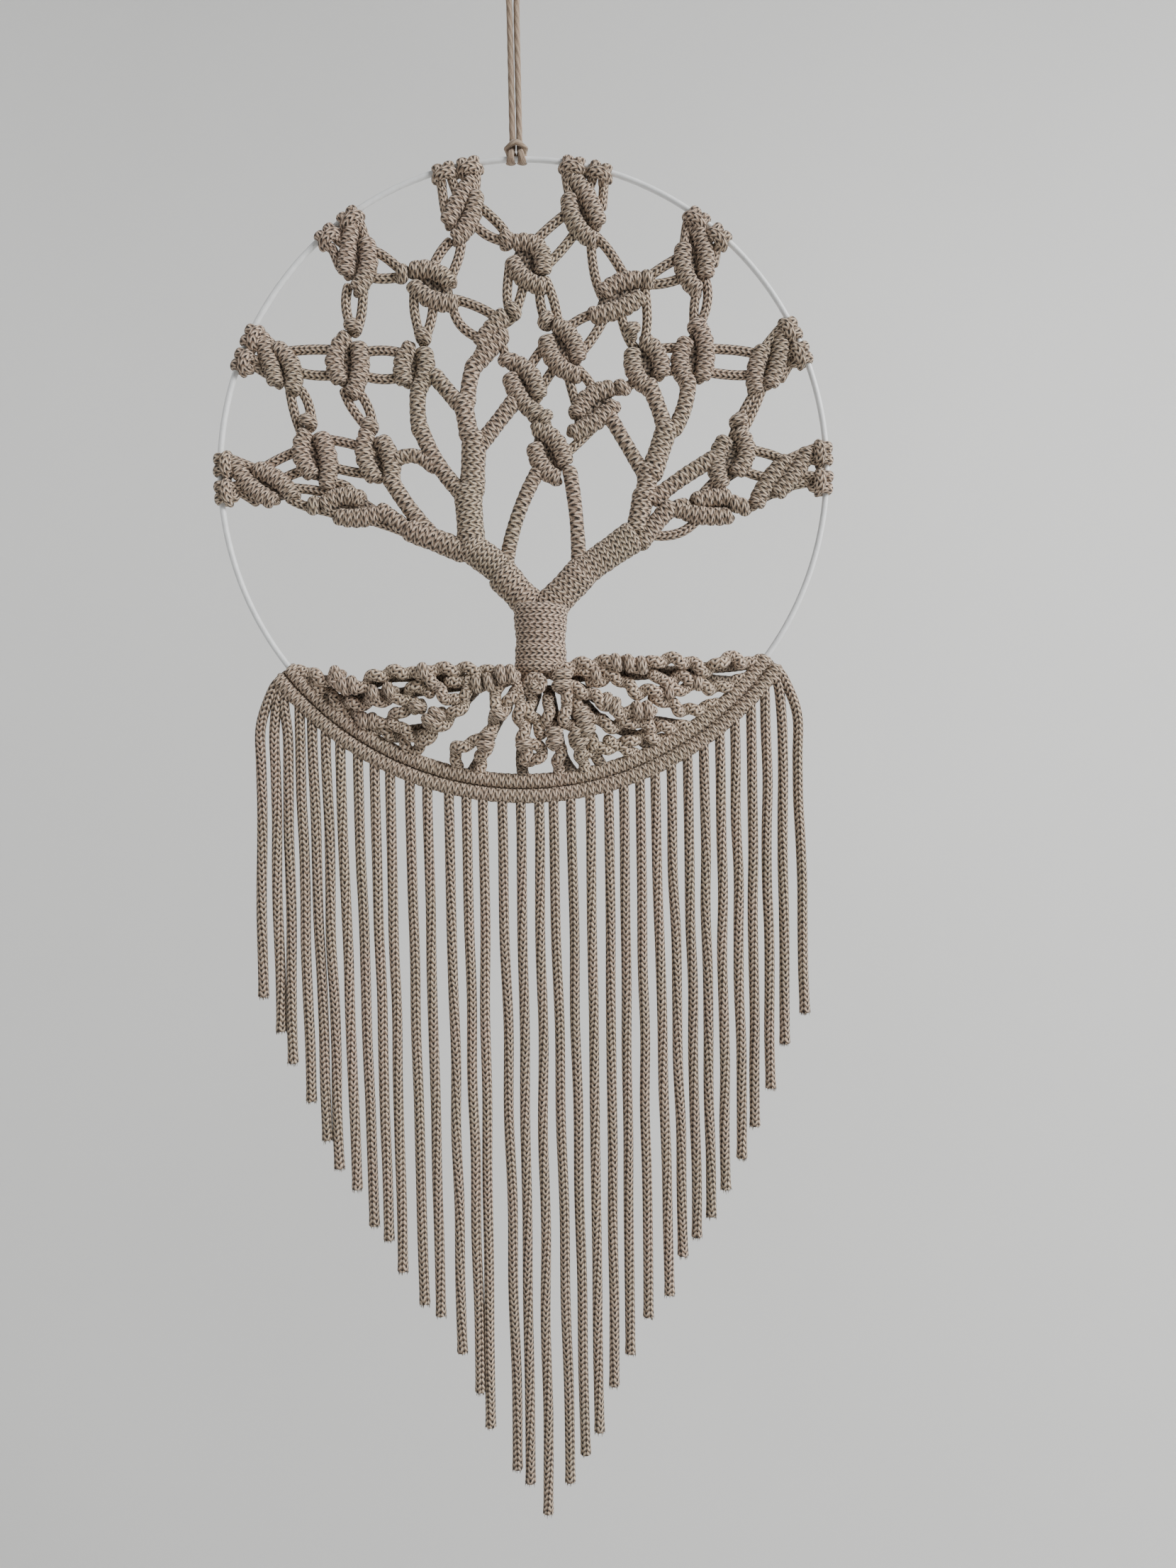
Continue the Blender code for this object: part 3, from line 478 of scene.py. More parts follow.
    def build(self, name, material):
        """The object of all the cords, in metres from the nail's point."""
        corners = np.concatenate([q.ravel() for q in self.quads + self.triangles])
        quad_count = sum(len(q) for q in self.quads)
        triangle_count = sum(len(t) for t in self.triangles)
        starts = np.concatenate((np.arange(quad_count) * 4,
                                 quad_count * 4 + np.arange(triangle_count) * 3))
        points = np.concatenate(self.points)
        points[:, 2] += HOOP_Z
        mesh = bpy.data.meshes.new(name)
        mesh.vertices.add(len(points))
        mesh.vertices.foreach_set("co", (points * MM).ravel())
        mesh.loops.add(len(corners))
        mesh.loops.foreach_set("vertex_index", corners.astype(np.int32))
        mesh.polygons.add(len(starts))
        mesh.polygons.foreach_set("loop_start", starts.astype(np.int32))
        mesh.polygons.foreach_set("use_smooth", np.ones(len(starts), bool))
        uvs = np.concatenate(self.quad_uvs + self.triangle_uvs)
        layer = mesh.uv_layers.new(name="cord")
        layer.data.foreach_set("uv", uvs.ravel())
        tone = mesh.attributes.new("tone", "FLOAT", "POINT")
        tone.data.foreach_set("value", np.concatenate(self.tones))
        mesh.update(calc_edges=True)
        mesh.validate()
        mesh.materials.append(material)
        thing = bpy.data.objects.new(name, mesh)
        bpy.context.scene.collection.objects.link(thing)
        return thing


def any_tone(spread=1.0):
    return float(RANDOM.uniform(-spread, spread))


def coil(cords, axis, widths, wrap, flat=1.0, hand=1, lean=0.55):
    """A cord wrapped round and round an axis, over a plain core that is darkened with painted shade."""
    half_out = wrap.half_out
    axis = np.asarray(axis, float)
    travelled = lengths_along(axis)
    total = travelled[-1]
    turns = max(1, round(total / wrap.pitch))
    step = total / turns
    steps = int(np.clip(np.max(widths) * 1.5, 14, 28))
    t = np.linspace(-0.5, turns - 0.5, turns * steps + 1)
    loose = np.interp(t, np.arange(-1, turns + 1), RANDOM.uniform(-0.05, 0.05, turns + 2))
    plump = np.interp(t, np.arange(-1, turns + 1), RANDOM.uniform(0.97, 1.05, turns + 2))
    place = step * (t + 0.5 - lean * np.sin(2 * math.pi * t) / (2 * math.pi) + loose)
    place = np.clip(place, 0.0, total)
    ahead = directions(axis)
    centre = np.stack([np.interp(place, travelled, axis[:, k]) for k in range(3)], axis=1)
    along = np.stack([np.interp(place, travelled, ahead[:, k]) for k in range(3)], axis=1)
    along /= np.linalg.norm(along, axis=1, keepdims=True)
    forward = squared(np.broadcast_to(FRONT, along.shape), along)
    sideways = np.cross(along, forward) * hand
    radius = np.interp(place, travelled, np.broadcast_to(widths, (len(axis),))) / 2 - half_out
    from_end = np.minimum(t + 0.5, turns - 0.5 - t)
    radius = radius * plump * (END_TUCK + (1 - END_TUCK) * np.clip(from_end / 0.3, 0, 1) ** 0.5)
    angle = 2 * math.pi * t
    reach = np.cos(angle)[:, None] * forward * flat + np.sin(angle)[:, None] * sideways
    tone = any_tone(0.5)
    cords.sweep(centre + reach * radius[:, None], half_out, step / 2 * wrap.overlap,
                outward=reach, sides=12, tone=tone, columns=wrap.columns)
    core = evenly(axis, 2.5)
    core_half = float(np.max(widths)) / 2 - CORE_SHRINK * half_out
    cords.sweep(core, core_half * flat, core_half, outward=np.broadcast_to(FRONT, core.shape),
                sides=10, tone=tone + CORE_PAINTED_SHADE, cap=0.6)


def behind(width):
    """How far forward a wide piece lies, so that its back stays off the wall."""
    return min(0.0, BACK - width / 2)


# Materials

class Nodes:
    """Short names for making the nodes of one material."""

    def __init__(self, name):
        self.material = bpy.data.materials.new(name)
        self.material.use_nodes = True
        self.tree = self.material.node_tree
        self.shader = self.tree.nodes["Principled BSDF"]

    def make(self, kind, **sockets):
        node = self.tree.nodes.new(kind)
        for name, value in sockets.items():
            self.fill(node.inputs[name.replace("_", " ")], value)
        return node

    def fill(self, socket, value):
        if isinstance(value, bpy.types.NodeSocket):
            self.tree.links.new(value, socket)
        else:
            socket.default_value = value

    def sum(self, operation, first, second=None):
        node = self.tree.nodes.new("ShaderNodeMath")
        node.operation = operation
        self.fill(node.inputs[0], first)
        if second is not None:
            self.fill(node.inputs[1], second)
        return node.outputs[0]

    def noise(self, scale, detail=2.0):
        node = self.make("ShaderNodeTexNoise", Scale=scale, Detail=detail)
        source = self.tree.nodes.new("ShaderNodeTexCoord").outputs["Object"]
        self.fill(node.inputs["Vector"], source)
        return node.outputs["Fac"]

    def span(self, value, low, high):
        """0 at low and 1 at high, clamped, with a soft start and end."""
        node = self.tree.nodes.new("ShaderNodeMapRange")
        node.interpolation_type = "SMOOTHSTEP"
        self.fill(node.inputs["Value"], value)
        turned = low > high
        for name, number in zip(("From Min", "From Max", "To Min", "To Max"),
                                (min(low, high), max(low, high), float(turned), float(not turned))):
            node.inputs[name].default_value = number
        return node.outputs["Result"]

    def ramp(self, value, *stops):
        node = self.tree.nodes.new("ShaderNodeValToRGB")
        elements = node.color_ramp.elements
        while len(elements) < len(stops):
            elements.new(0.5)
        for element, (position, colour) in zip(elements, stops):
            element.position = position
            element.color = (*colour, 1.0)
        self.fill(node.inputs["Fac"], value)
        return node.outputs["Color"]

    def mix(self, share, first, second, blend="MIX"):
        node = self.tree.nodes.new("ShaderNodeMix")
        node.data_type = "RGBA"
        node.blend_type = blend
        self.fill(node.inputs["Factor"], share)
        colours = [socket for socket in node.inputs if socket.type == "RGBA"]
        for socket, colour in zip(colours, (first, second)):
            self.fill(socket, colour if isinstance(colour, bpy.types.NodeSocket) else (*colour, 1.0))
        return next(socket for socket in node.outputs if socket.type == "RGBA")

    def dress(self, colour, roughness, height, distance, strength=1.0, sheen=0.0):
        self.fill(self.shader.inputs["Base Color"], colour)
        self.fill(self.shader.inputs["Roughness"], roughness)
        self.shader.inputs["Sheen Weight"].default_value = sheen
        self.shader.inputs["Sheen Roughness"].default_value = 0.6
        bump = self.make("ShaderNodeBump", Height=height, Distance=distance, Strength=strength)
        self.tree.links.new(bump.outputs["Normal"], self.shader.inputs["Normal"])
        return self.material


def braided_cotton(name, crease_shade, body, crest_highlight, opening):
    """Cotton braid: steep legs in zigzag columns, with dark pin-holes where the legs meet. The colour
    holds painted shade in the creases and pin-holes and a painted highlight on the crests of the legs.
    """
    nodes = Nodes(name)
    split = nodes.make("ShaderNodeSeparateXYZ")
    nodes.fill(split.inputs[0], nodes.tree.nodes.new("ShaderNodeUVMap").outputs["UV"])
    wander = nodes.sum("MULTIPLY", nodes.noise(300.0, 3.0), 0.5)
    along = nodes.sum("ADD", nodes.sum("DIVIDE", split.outputs["Y"], STITCH), wander)
    sway = nodes.sum("MULTIPLY", nodes.sum("SUBTRACT", nodes.noise(360.0, 3.0), 0.5), 0.5)
    around = nodes.sum("ADD", nodes.sum("MULTIPLY", split.outputs["X"], 2.0 * STITCH_COLUMNS), sway)
    across = nodes.sum("FRACT", nodes.sum("MULTIPLY", around, 0.5))
    fold = nodes.sum("ABSOLUTE", nodes.sum("SUBTRACT", nodes.sum("MULTIPLY", across, 2.0), 1.0))
    phase = nodes.sum("FRACT", nodes.sum("ADD", along, nodes.sum("MULTIPLY", fold, LEG_SLANT)))
    leg = nodes.sum("SINE", nodes.sum("MULTIPLY", phase, math.pi))
    barrel = nodes.sum("SINE", nodes.sum("MULTIPLY", nodes.sum("FRACT", around), math.pi))
    height = nodes.sum("MULTIPLY", nodes.sum("POWER", leg, 0.8), nodes.sum("POWER", barrel, 0.15))
    fibres = nodes.sum("MULTIPLY", nodes.noise(1500.0, 4.0), 0.7)
    frayed = nodes.sum("ADD", height, nodes.sum("SUBTRACT", fibres, 0.35))
    # Colour by height: painted shade in the creases and between the columns, a painted highlight on the
    # crests of the legs.
    woven = nodes.ramp(frayed, (0.0, crease_shade), (0.6, body), (1.0, crest_highlight))
    hole = pin_hole(nodes, around, along, opening)
    # Near-black in the pin-holes: painted shade.
    stitches = nodes.mix(nodes.sum("MULTIPLY", hole, 0.97), woven, (0.010, 0.004, 0.002))
    drift = nodes.ramp(nodes.noise(28.0), (0.3, (1.0, 0.93, 0.90)), (0.7, (0.93, 0.94, 0.86)))
    # The tone attribute scales the colour: a random tone per cord, plus painted shade on cores, inner
    # cords, back roots and the band's groove cord, and painted light on front roots.
    tone = nodes.tree.nodes.new("ShaderNodeAttribute")
    tone.attribute_name = "tone"
    shade = nodes.sum("ADD", 1.0, nodes.sum("MULTIPLY", tone.outputs["Fac"], TONE_STEP))
    toned = nodes.mix(1.0, stitches, drift, "MULTIPLY")
    scaled = nodes.tree.nodes.new("ShaderNodeVectorMath")
    scaled.operation = "SCALE"
    nodes.fill(scaled.inputs[0], toned)
    nodes.fill(scaled.inputs["Scale"], shade)
    relief = nodes.sum("SUBTRACT", frayed, nodes.sum("MULTIPLY", hole, 1.5))
    roughness = nodes.sum("ADD", 0.82, nodes.sum("MULTIPLY", nodes.noise(900.0), 0.16))
    return nodes.dress(scaled.outputs[0], roughness, relief, distance=0.00035, sheen=0.15)


def pin_hole(nodes, around, along, opening):
    """The mask of small gaps, staggered from column to column, some wider than others; the braid paints
    them near-black as painted shade.
    """
    column = nodes.sum("FLOOR", nodes.sum("ADD", around, 0.5))
    stagger = nodes.sum("FRACT", nodes.sum("MULTIPLY", column, 0.5))
    lengthwise = nodes.sum("SUBTRACT", nodes.sum("FRACT", nodes.sum("ADD", along, stagger)), 0.5)
    lengthwise = nodes.sum("DIVIDE", lengthwise, opening)
    sideways = nodes.sum("DIVIDE", nodes.sum("SUBTRACT", around, column), opening)
    square = nodes.sum("ADD", nodes.sum("MULTIPLY", lengthwise, lengthwise),
                       nodes.sum("MULTIPLY", sideways, sideways))
    uneven = nodes.sum("MULTIPLY", nodes.noise(480.0, 3.0), 0.8)
    return nodes.span(nodes.sum("ADD", nodes.sum("SQRT", square), uneven), 1.35, 0.95)


def twisted_cotton(name, body, crest_highlight):
    """Soft string: long fibres in a slow twist, with painted shade between the strands and a painted
    highlight on their crests.
    """
    nodes = Nodes(name)
    split = nodes.make("ShaderNodeSeparateXYZ")
    nodes.fill(split.inputs[0], nodes.tree.nodes.new("ShaderNodeUVMap").outputs["UV"])
    spin = nodes.sum("ADD", split.outputs["X"], nodes.sum("DIVIDE", split.outputs["Y"], STRING_TWIST))
    wander = nodes.sum("MULTIPLY", nodes.noise(160.0, 3.0), 5.0)
    height = nodes.sum("MULTIPLY", nodes.noise(1400.0, 3.0), 0.35)
    for streaks, share in ((4, 0.35), (13, 0.3)):
        wave = nodes.sum("ADD", nodes.sum("MULTIPLY", spin, streaks * 2 * math.pi), wander)
        height = nodes.sum("ADD", height, nodes.sum("MULTIPLY", nodes.sum("SINE", wave), share / 2))
    # Colour by height: painted shade between the strands, a painted highlight on their crests.
    colour = nodes.ramp(nodes.sum("ADD", height, 0.3),
                        (0.0, (0.11, 0.07, 0.05)), (0.4, body), (0.85, crest_highlight))
    drift = nodes.ramp(nodes.noise(60.0), (0.3, (1.0, 0.95, 0.92)), (0.7, (0.95, 0.95, 0.89)))
    roughness = nodes.sum("ADD", 0.8, nodes.sum("MULTIPLY", nodes.noise(900.0), 0.15))
    return nodes.dress(nodes.mix(1.0, colour, drift, "MULTIPLY"), roughness, height,
                       distance=0.0003, sheen=0.2)


def white_paint(name):
    """Dipped white paint on wire: small runs and specks, a little worn."""
    nodes = Nodes(name)
    colour = nodes.ramp(nodes.noise(180.0, 4.0),
                        (0.35, (0.80, 0.81, 0.81)), (0.6, (0.87, 0.88, 0.88)))
    roughness = nodes.sum("ADD", 0.32, nodes.sum("MULTIPLY", nodes.noise(400.0), 0.2))
    return nodes.dress(colour, roughness, nodes.noise(700.0, 3.0), distance=0.00012)


def plain_wall(name):
    nodes = Nodes(name)
    colour = nodes.ramp(nodes.noise(1.5), (0.3, (0.79, 0.79, 0.775)), (0.7, (0.82, 0.82, 0.805)))
    return nodes.dress(colour, 0.9, nodes.noise(220.0, 4.0), distance=0.0005, strength=0.3)


# The pieces

def place(thing, slot, *nodes):
    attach(thing, "root")
    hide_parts(*nodes)


def make_hoop(paint):
    cords = Cords()
    angles = np.linspace(0, 2 * math.pi, 420, endpoint=False)
    path = np.array([on_hoop(angle) for angle in angles])
    cords.sweep(path, WIRE / 2, sides=16, closed=True)
    place(cords.build("hoop_wire", paint), "painted_wire", "hoop")


def loop_route():
    side = [(x, 0.0, z - HOOP_Z) for x, z in LOOP_SIDE]
    start = (STRING_SPACING / 2, 0.0, HOOP_HALF_HEIGHT + HITCH_TOP + GAP)
    centre_z = STRING / 2 - LOOP_BEND - HOOP_Z
    bend = [(LOOP_BEND * math.cos(angle), 0.0, centre_z + LOOP_BEND * math.sin(angle))
            for angle in np.radians((0, 30, 60, 90))]
    half = [start, *side, *bend]
    return half + [(-x, y, z) for x, y, z in reversed(half[:-1])]


def make_loop(string):
    route = smooth(loop_route(), 0.8)
    cords = Cords()
    cords.sweep(route, STRING / 2, sides=18, lobes=STRAND_DEPTH, lobe_pitch=STRAND_PITCH)
    thing = cords.build("loop_string", string)
    place(thing, "cotton_string", "hanging_loop")


# Half of a lark's head: along the wire, out from the hoop's centre, and back from the front
LARKS_HEAD = (
    (-2.8, -11, -0.5), (-2.8, -6.5, -0.6), (-2.8, -2.5, -2.5), (-2.8, 0.3, -2.6), (-2.8, 1.7, -0.4),
    (-2.9, 0.5, 2.7), (-3.2, -2.4, 2.4), (-4.5, -4.1, -0.8), (-2.8, -4.0, -4.1), (0, -3.7, -4.8),
)
HEAD_REACH = 24.0
HEAD_OUT = 1.75
HEAD_SIDE = 2.9
HITCH_HALF = (
    (-1.7, -9.2, 0.2), (-1.7, -5.0, 0.0), (-2.3, -2.0, -2.3), (-2.7, 0.4, -2.3), (-2.8, 1.1, 0),
    (-2.7, 0.3, 2.3), (-2.5, -3.5, 2.2), (-3.4, -5.2, -0.5), (-2.0, -6.3, -2.9), (0, -6.8, -3.3),
)


def on_wire(angle, along, out, back):
    """A place beside the wire: along it from an angle, out from the hoop, and to the back."""
    point = on_hoop(angle + along / HOOP_HALF_WIDTH, out)
    point[1] = back
    return point


def larks_head(angle, half, flip=1):
    half = [(along, out * flip, back) for along, out, back in half]
    other = [(-along, out, back) for along, out, back in reversed(half[:-1])]
    return [on_wire(angle, *point) for point in half + other]


def sweep_head(cords, points, angle, flip=1, round_half=2.4, out=HEAD_OUT, side=HEAD_SIDE,
               reach=HEAD_REACH, **more):
    """A cord through a lark's head, flattened where it grips the wire."""
    path = smooth(points, 0.8)
    middle = on_wire(angle, 0.0, -1.5 * flip, 0.0)
    radial = on_hoop(angle) / np.linalg.norm(on_hoop(angle))
    from_middle = path - middle
    outward = radial * (from_middle @ radial)[:, None]
    outward[:, 1] = from_middle[:, 1] - 2.0
    along = lengths_along(path)
    bight = along[np.argmin(np.linalg.norm(path - points[len(points) // 2], axis=1))]
    grip = np.clip((reach - np.abs(along - bight)) / 5.0, 0.0, 1.0)
    cords.sweep(path, round_half + (out - round_half) * grip, round_half + (side - round_half) * grip,
                outward=outward, tone=any_tone(), **more)


def make_hitch(string):
    cords = Cords()
    points = larks_head(0.0, HITCH_HALF, flip=-1)
    points[0] = np.array((-STRING_SPACING / 2, 0.0, HOOP_HALF_HEIGHT + HITCH_TOP - 0.2))
    points[-1] = points[0] * np.array((-1.0, 1.0, 1.0))
    sweep_head(cords, points, 0.0, flip=-1, round_half=STRING / 2, out=1.25, side=2.65, reach=19.0,
               sides=16, lobes=STRAND_DEPTH, lobe_pitch=STRAND_PITCH, cap=0.2)
    place(cords.build("loop_knot", string), "cotton_string", "loop_hitch")


def make_heads(cotton):
    cords = Cords()
    for name, heads in RIM_HEADS.items():
        first, second = RIM_LEAVES[name]
        start_a, start_b = np.array((first.x1, 0, first.z1)), np.array((second.x1, 0, second.z1))
        corner = np.array((heads.x1, 0.6, heads.z1))
        tuck = np.array((heads.x2, 1.0, heads.z2))
        middle = np.array(((first.x1 + first.x2) / 2, 1.0, (first.z1 + first.z2) / 2))
        left_side = heads.near < 0
        near = larks_head(math.radians(heads.near), LARKS_HEAD)
        far = larks_head(math.radians(heads.far), LARKS_HEAD)
        near[-1 if left_side else 0] = start_b
        near[0 if left_side else -1] = start_a
        far = [tuck, corner] + far[1:-1] + [middle]
        if not left_side:
            far = [middle] + larks_head(math.radians(heads.far), LARKS_HEAD)[1:-1] + [corner, tuck]
        sweep_head(cords, near, math.radians(heads.near), sides=16)
        sweep_head(cords, far, math.radians(heads.far), sides=16)
    place(cords.build("tree_heads", cotton), "cotton_cord", "tree")


def add_bar(cords, run, y, hand):
    axis = bowed(run, y)
    share = np.linspace(0, 1, len(axis))
    widths = BAR * (0.9 + 0.1 * np.sin(math.pi * share) ** 0.5)
    coil(cords, axis, widths, BAR_WRAP, hand=hand)


def make_leaves(cotton):
    leaves = {**RIM_LEAVES, **INNER_LEAVES}
    for side, name in ((-1, "tree_leaves_left"), (1, "tree_leaves_right")):
        cords = Cords()
        for first, second in leaves.values():
            if (first.x1 + first.x2 > 0) == (side > 0):
                add_bar(cords, parted(first, second, LEAF_BOW), -0.2, side)
                add_bar(cords, parted(second, first, LEAF_BOW), 0.2, side)
                add_inner_cords(cords, first, second)
        for x, z, lean in BEADS:
            if (x > 0) == (side > 0):
                add_winding(cords, (x, -0.5, z), lean, 1, BEAD_WRAP, BEAD_WIDTH, side)
        place(cords.build(name, cotton), "cotton_cord", "tree")


def add_inner_cords(cords, first, second):
    """The cords that cross from one bar of a leaf to the other, behind the bars, darkened with painted
    shade.
    """
    near, far = bowed(first, INNER_BACK), bowed(second, INNER_BACK)
    for share in INNER_SHARES:
        start, end = near[int(share * len(near))], far[int(share * len(far))]
        cords.sweep(evenly([start, end], RUN_STEP), CORD / 2, CORD / 2 * 1.3, sides=10, tone=INNER_PAINTED_SHADE)


def add_winding(cords, centre, lean, turns, wrap, width, hand=1):
    """A short winding about a point, its axis at an angle from upright."""
    angle = math.radians(lean)
    half = np.array((math.sin(angle), 0.0, math.cos(angle))) * turns * wrap.pitch / 2
    axis = evenly([np.array(centre) - half, np.array(centre) + half], 1.0)
    coil(cords, axis, width, wrap, hand=hand)


def drawn_in(x, z):
    """A link's end, drawn in to the bead that it runs through, where there is one."""
    bead_x, bead_z, _ = min(BEADS, key=lambda bead: math.hypot(bead[0] - x, bead[1] - z))
    if math.hypot(bead_x - x, bead_z - z) > BEAD_REACH:
        return x, z
    return bead_x + BEAD_SPREAD * (x - bead_x), bead_z + BEAD_SPREAD * (z - bead_z)


def make_links(cotton):
    cords = Cords()
    for index, link in enumerate(LINKS):
        run = Run(*drawn_in(link.x1, link.z1), *drawn_in(link.x2, link.z2), link.bow + any_tone(0.5))
        others = [other for other in LINKS if other is not link]
        partner = min(others, key=lambda other: math.dist(middle_of(other), middle_of(link)))
        if math.dist(middle_of(partner), middle_of(link)) < LINK_PAIR:
            run = parted(run, partner, LINK_BOW)
        path = bowed(run, 1.0 + 0.3 * (index % 4))
        share = np.linspace(0, 1, len(path))[:, None]
        path = path + np.sin(math.pi * 2 * share) * np.array((0.25, 0, 0.25)) * any_tone()
        cords.sweep(path, CORD / 2 * 0.96, sides=14, tone=any_tone(), columns=PLAIN_COLUMNS)
    place(cords.build("tree_links", cotton), "cotton_cord", "tree")


def make_limbs(cotton):
    cords = Cords()
    for index, limb in enumerate(LIMBS):
        y = behind(limb.width) - 0.15 * (index % 3)
        axis = bowed(limb, y)
        share = np.linspace(0, 1, len(axis))
        widths = limb.width * (1.03 - 0.07 * np.sin(math.pi * share))
        flat = 0.86 if limb.width > 20 else 0.92 if limb.width > 14 else 1.0
        coil(cords, axis, widths, LIMB_WRAP, flat=flat, hand=1 if index % 2 else -1)
    place(cords.build("tree_limbs", cotton), "cotton_cord", "tree")


def root_point(x, z, layer):
    """A place on a root: behind the band's front at the band, further forward at the trunk."""
    rim = 1.0 - math.hypot(x / HOOP_HALF_WIDTH, z / HOOP_HALF_HEIGHT)
    inside = min(1.0, max(0.0, rim - 0.02) / 0.07)
    return x, -inside * (layer + 8.0 * min(1.0, rim / 0.22)), z


def curled(path, reach, pitch):
    """The path wound in a loose corkscrew that starts and ends on it."""
    ahead = directions(path)
    side = carried(ahead)
    along = lengths_along(path)
    turn = (along / pitch + RANDOM.uniform())[:, None] * 2 * math.pi
    reach = reach * np.clip(np.minimum(along, along[-1] - along) / pitch, 0.0, 1.0)[:, None]
    return path + (np.cos(turn) * side + np.sin(turn) * np.cross(ahead, side)) * reach


def make_roots(cotton):
    cords = Cords()
    for layer, *points in ROOTS.values():
        path = smooth([root_point(x, z, layer) for x, z in points], 0.9)
        front = layer > 0
        if front:
            path = curled(path, CURL, CURL_PITCH)
        # Front roots are painted lighter (painted light) and back roots much darker (painted shade).
        tone = any_tone() + (1.5 if front else -6.5)
        cords.sweep(path, ROOT / 2, sides=16, tone=tone, wound=ROOT_PITCH)
    for knot in ROOT_KNOTS:
        centre = root_point(knot.x, knot.z, knot.layer)
        add_winding(cords, centre, knot.direction, knot.turns, ROOT_WRAP, knot.width)
    add_hook(cords, 4.5, -106, 15, 13)
    place(cords.build("root_cords", cotton), "cotton_cord", "roots")


def add_hook(cords, x, z, width, forward):
    """A cord's end that curls in over itself, seen from the front."""
    t = np.linspace(0, 1, 50)
    angle = math.radians(HOOK_START) - t * 2 * math.pi * HOOK_TURNS
    radius = (width - ROOT) / 2 * (1 - t * 0.75)
    path = np.stack((x + radius * np.cos(angle), -forward - t * 3.0, z + radius * np.sin(angle)),
                    axis=1)
    cords.sweep(evenly(path, 0.9), ROOT / 2, sides=16, tone=any_tone(), wound=ROOT_PITCH)


def band_axis(out):
    angles = np.linspace(math.pi - BAND_HALF_ANGLE, math.pi + BAND_HALF_ANGLE, 160)
    return np.array([on_hoop(angle, out) for angle in angles])


def make_bands(cotton):
    for name, node, out in (("root_band", "roots", 0.0), ("fringe_band", "fringe", BAND + GAP)):
        cords = Cords()
        coil(cords, band_axis(out), BAND + BAND_SWELL, BAND_WRAP, flat=1.1, lean=0.7)
        if node == "roots":
            # A thin dark cord sunk in the groove between the two bands: painted shade.
            groove = band_axis((BAND + GAP) / 2) + np.array((0.0, 0.8, 0.0))
            cords.sweep(groove, BAND / 4, sides=10, tone=-6.0)
        place(cords.build(name, cotton), "cotton_cord", node)


def strand_angles(out):
    """Where each strand leaves the band: above its top, or crowded at the band's ends."""
    angles = {}
    for side in (-1, 1):
        limit = BAND_HALF_ANGLE * FRINGE_SPREAD
        strands = [strand for strand in FRINGE if strand.top_x * side > 0]
        for strand in sorted(strands, key=lambda strand: -abs(strand.top_x)):
            above = math.asin(min(1.0, abs(strand.top_x) / (HOOP_HALF_WIDTH + out)))
            angles[strand] = (math.pi - side * min(above, limit), above < limit)
            limit = min(above, limit) - FRINGE_CROWD
    return angles


def make_fringe(cotton):
    out = BAND + GAP
    halves = {-1: Cords(), 1: Cords()}
    angles = strand_angles(out)
    for strand in FRINGE:
        angle, straight = angles[strand]
        start, turn = on_hoop(angle, out - 1.0), on_hoop(angle, out + 5.0)
        if straight:
            turn[0] = strand.top_x
        top_z = turn[2] - FRINGE_TURN
        points = [start, turn, (strand.top_x, 0.0, top_z)]
        sway, phase = RANDOM.uniform(0.2, 0.7), RANDOM.uniform(0, 2 * math.pi)
        for share in np.linspace(0.15, 1.0, 7):
            z = top_z + (strand.end_z - top_z) * share
            x = strand.top_x + (strand.end_x - strand.top_x) * share
            x += sway * math.sin(phase + z / 14.0) * (1 - share * 0.5)
            points.append((x, 0.35 * math.sin(phase + z / 22.0), z))
        path = smooth(points, 1.8)
        to_end = lengths_along(path)[-1] - lengths_along(path)
        width = CORD / 2 * (1.0 + 0.10 * np.clip(1 - to_end / 5.0, 0, 1))
        cords = halves[-1 if strand.top_x < 0 else 1]
        cords.sweep(path, width, sides=14, tone=any_tone(), cap=0.7, columns=PLAIN_COLUMNS,
                    twist=RANDOM.uniform(-1, 1) * 0.004)
        add_frayed_end(cords, path[-1], path[-1] - path[-2])
    for side, cords in halves.items():
        name = "fringe_strands_left" if side < 0 else "fringe_strands_right"
        place(cords.build(name, cotton), "cotton_cord", "fringe")


def add_frayed_end(cords, end, ahead):
    """Fine cut fibres that stand out of the end of a strand."""
    ahead = ahead / np.linalg.norm(ahead)
    for _ in range(FIBRES):
        turn, reach = RANDOM.uniform(0, 2 * math.pi), RANDOM.uniform(0.2, 1.0) ** 0.5
        spread = np.array((math.cos(turn), math.sin(turn), 0.0)) * reach
        start = end + spread * CORD / 2 * 0.95 - ahead * 0.6
        tip = start + ahead * RANDOM.uniform(1.2, 2.8) + spread * RANDOM.uniform(0.0, 0.8)
        cords.sweep([start, (start + tip) / 2 + spread * 0.15, tip], (0.22, 0.18, 0.06), sides=3,
                    tone=3.0, cap=0.05)


# Camera, light and backdrop

CAMERA_AT = (28.1, -575.4, -154.0)
PHOTO_ROLL = math.radians(1.3)
LENS = 27.03
LONG_SIDE = 36.0


def make_camera():
    data = bpy.data.cameras.new("camera")
    data.lens = LENS
    data.sensor_width = LONG_SIDE
    data.clip_start = 0.01
    camera = bpy.data.objects.new("camera", data)
    camera.location = (CAMERA_AT[0] * MM, CAMERA_AT[1] * MM, (CAMERA_AT[2] + HOOP_Z) * MM)
    camera.rotation_mode = "XYZ"
    camera.rotation_euler = (math.pi / 2, PHOTO_ROLL, 0.0)
    bpy.context.scene.collection.objects.link(camera)
    bpy.context.scene.camera = camera


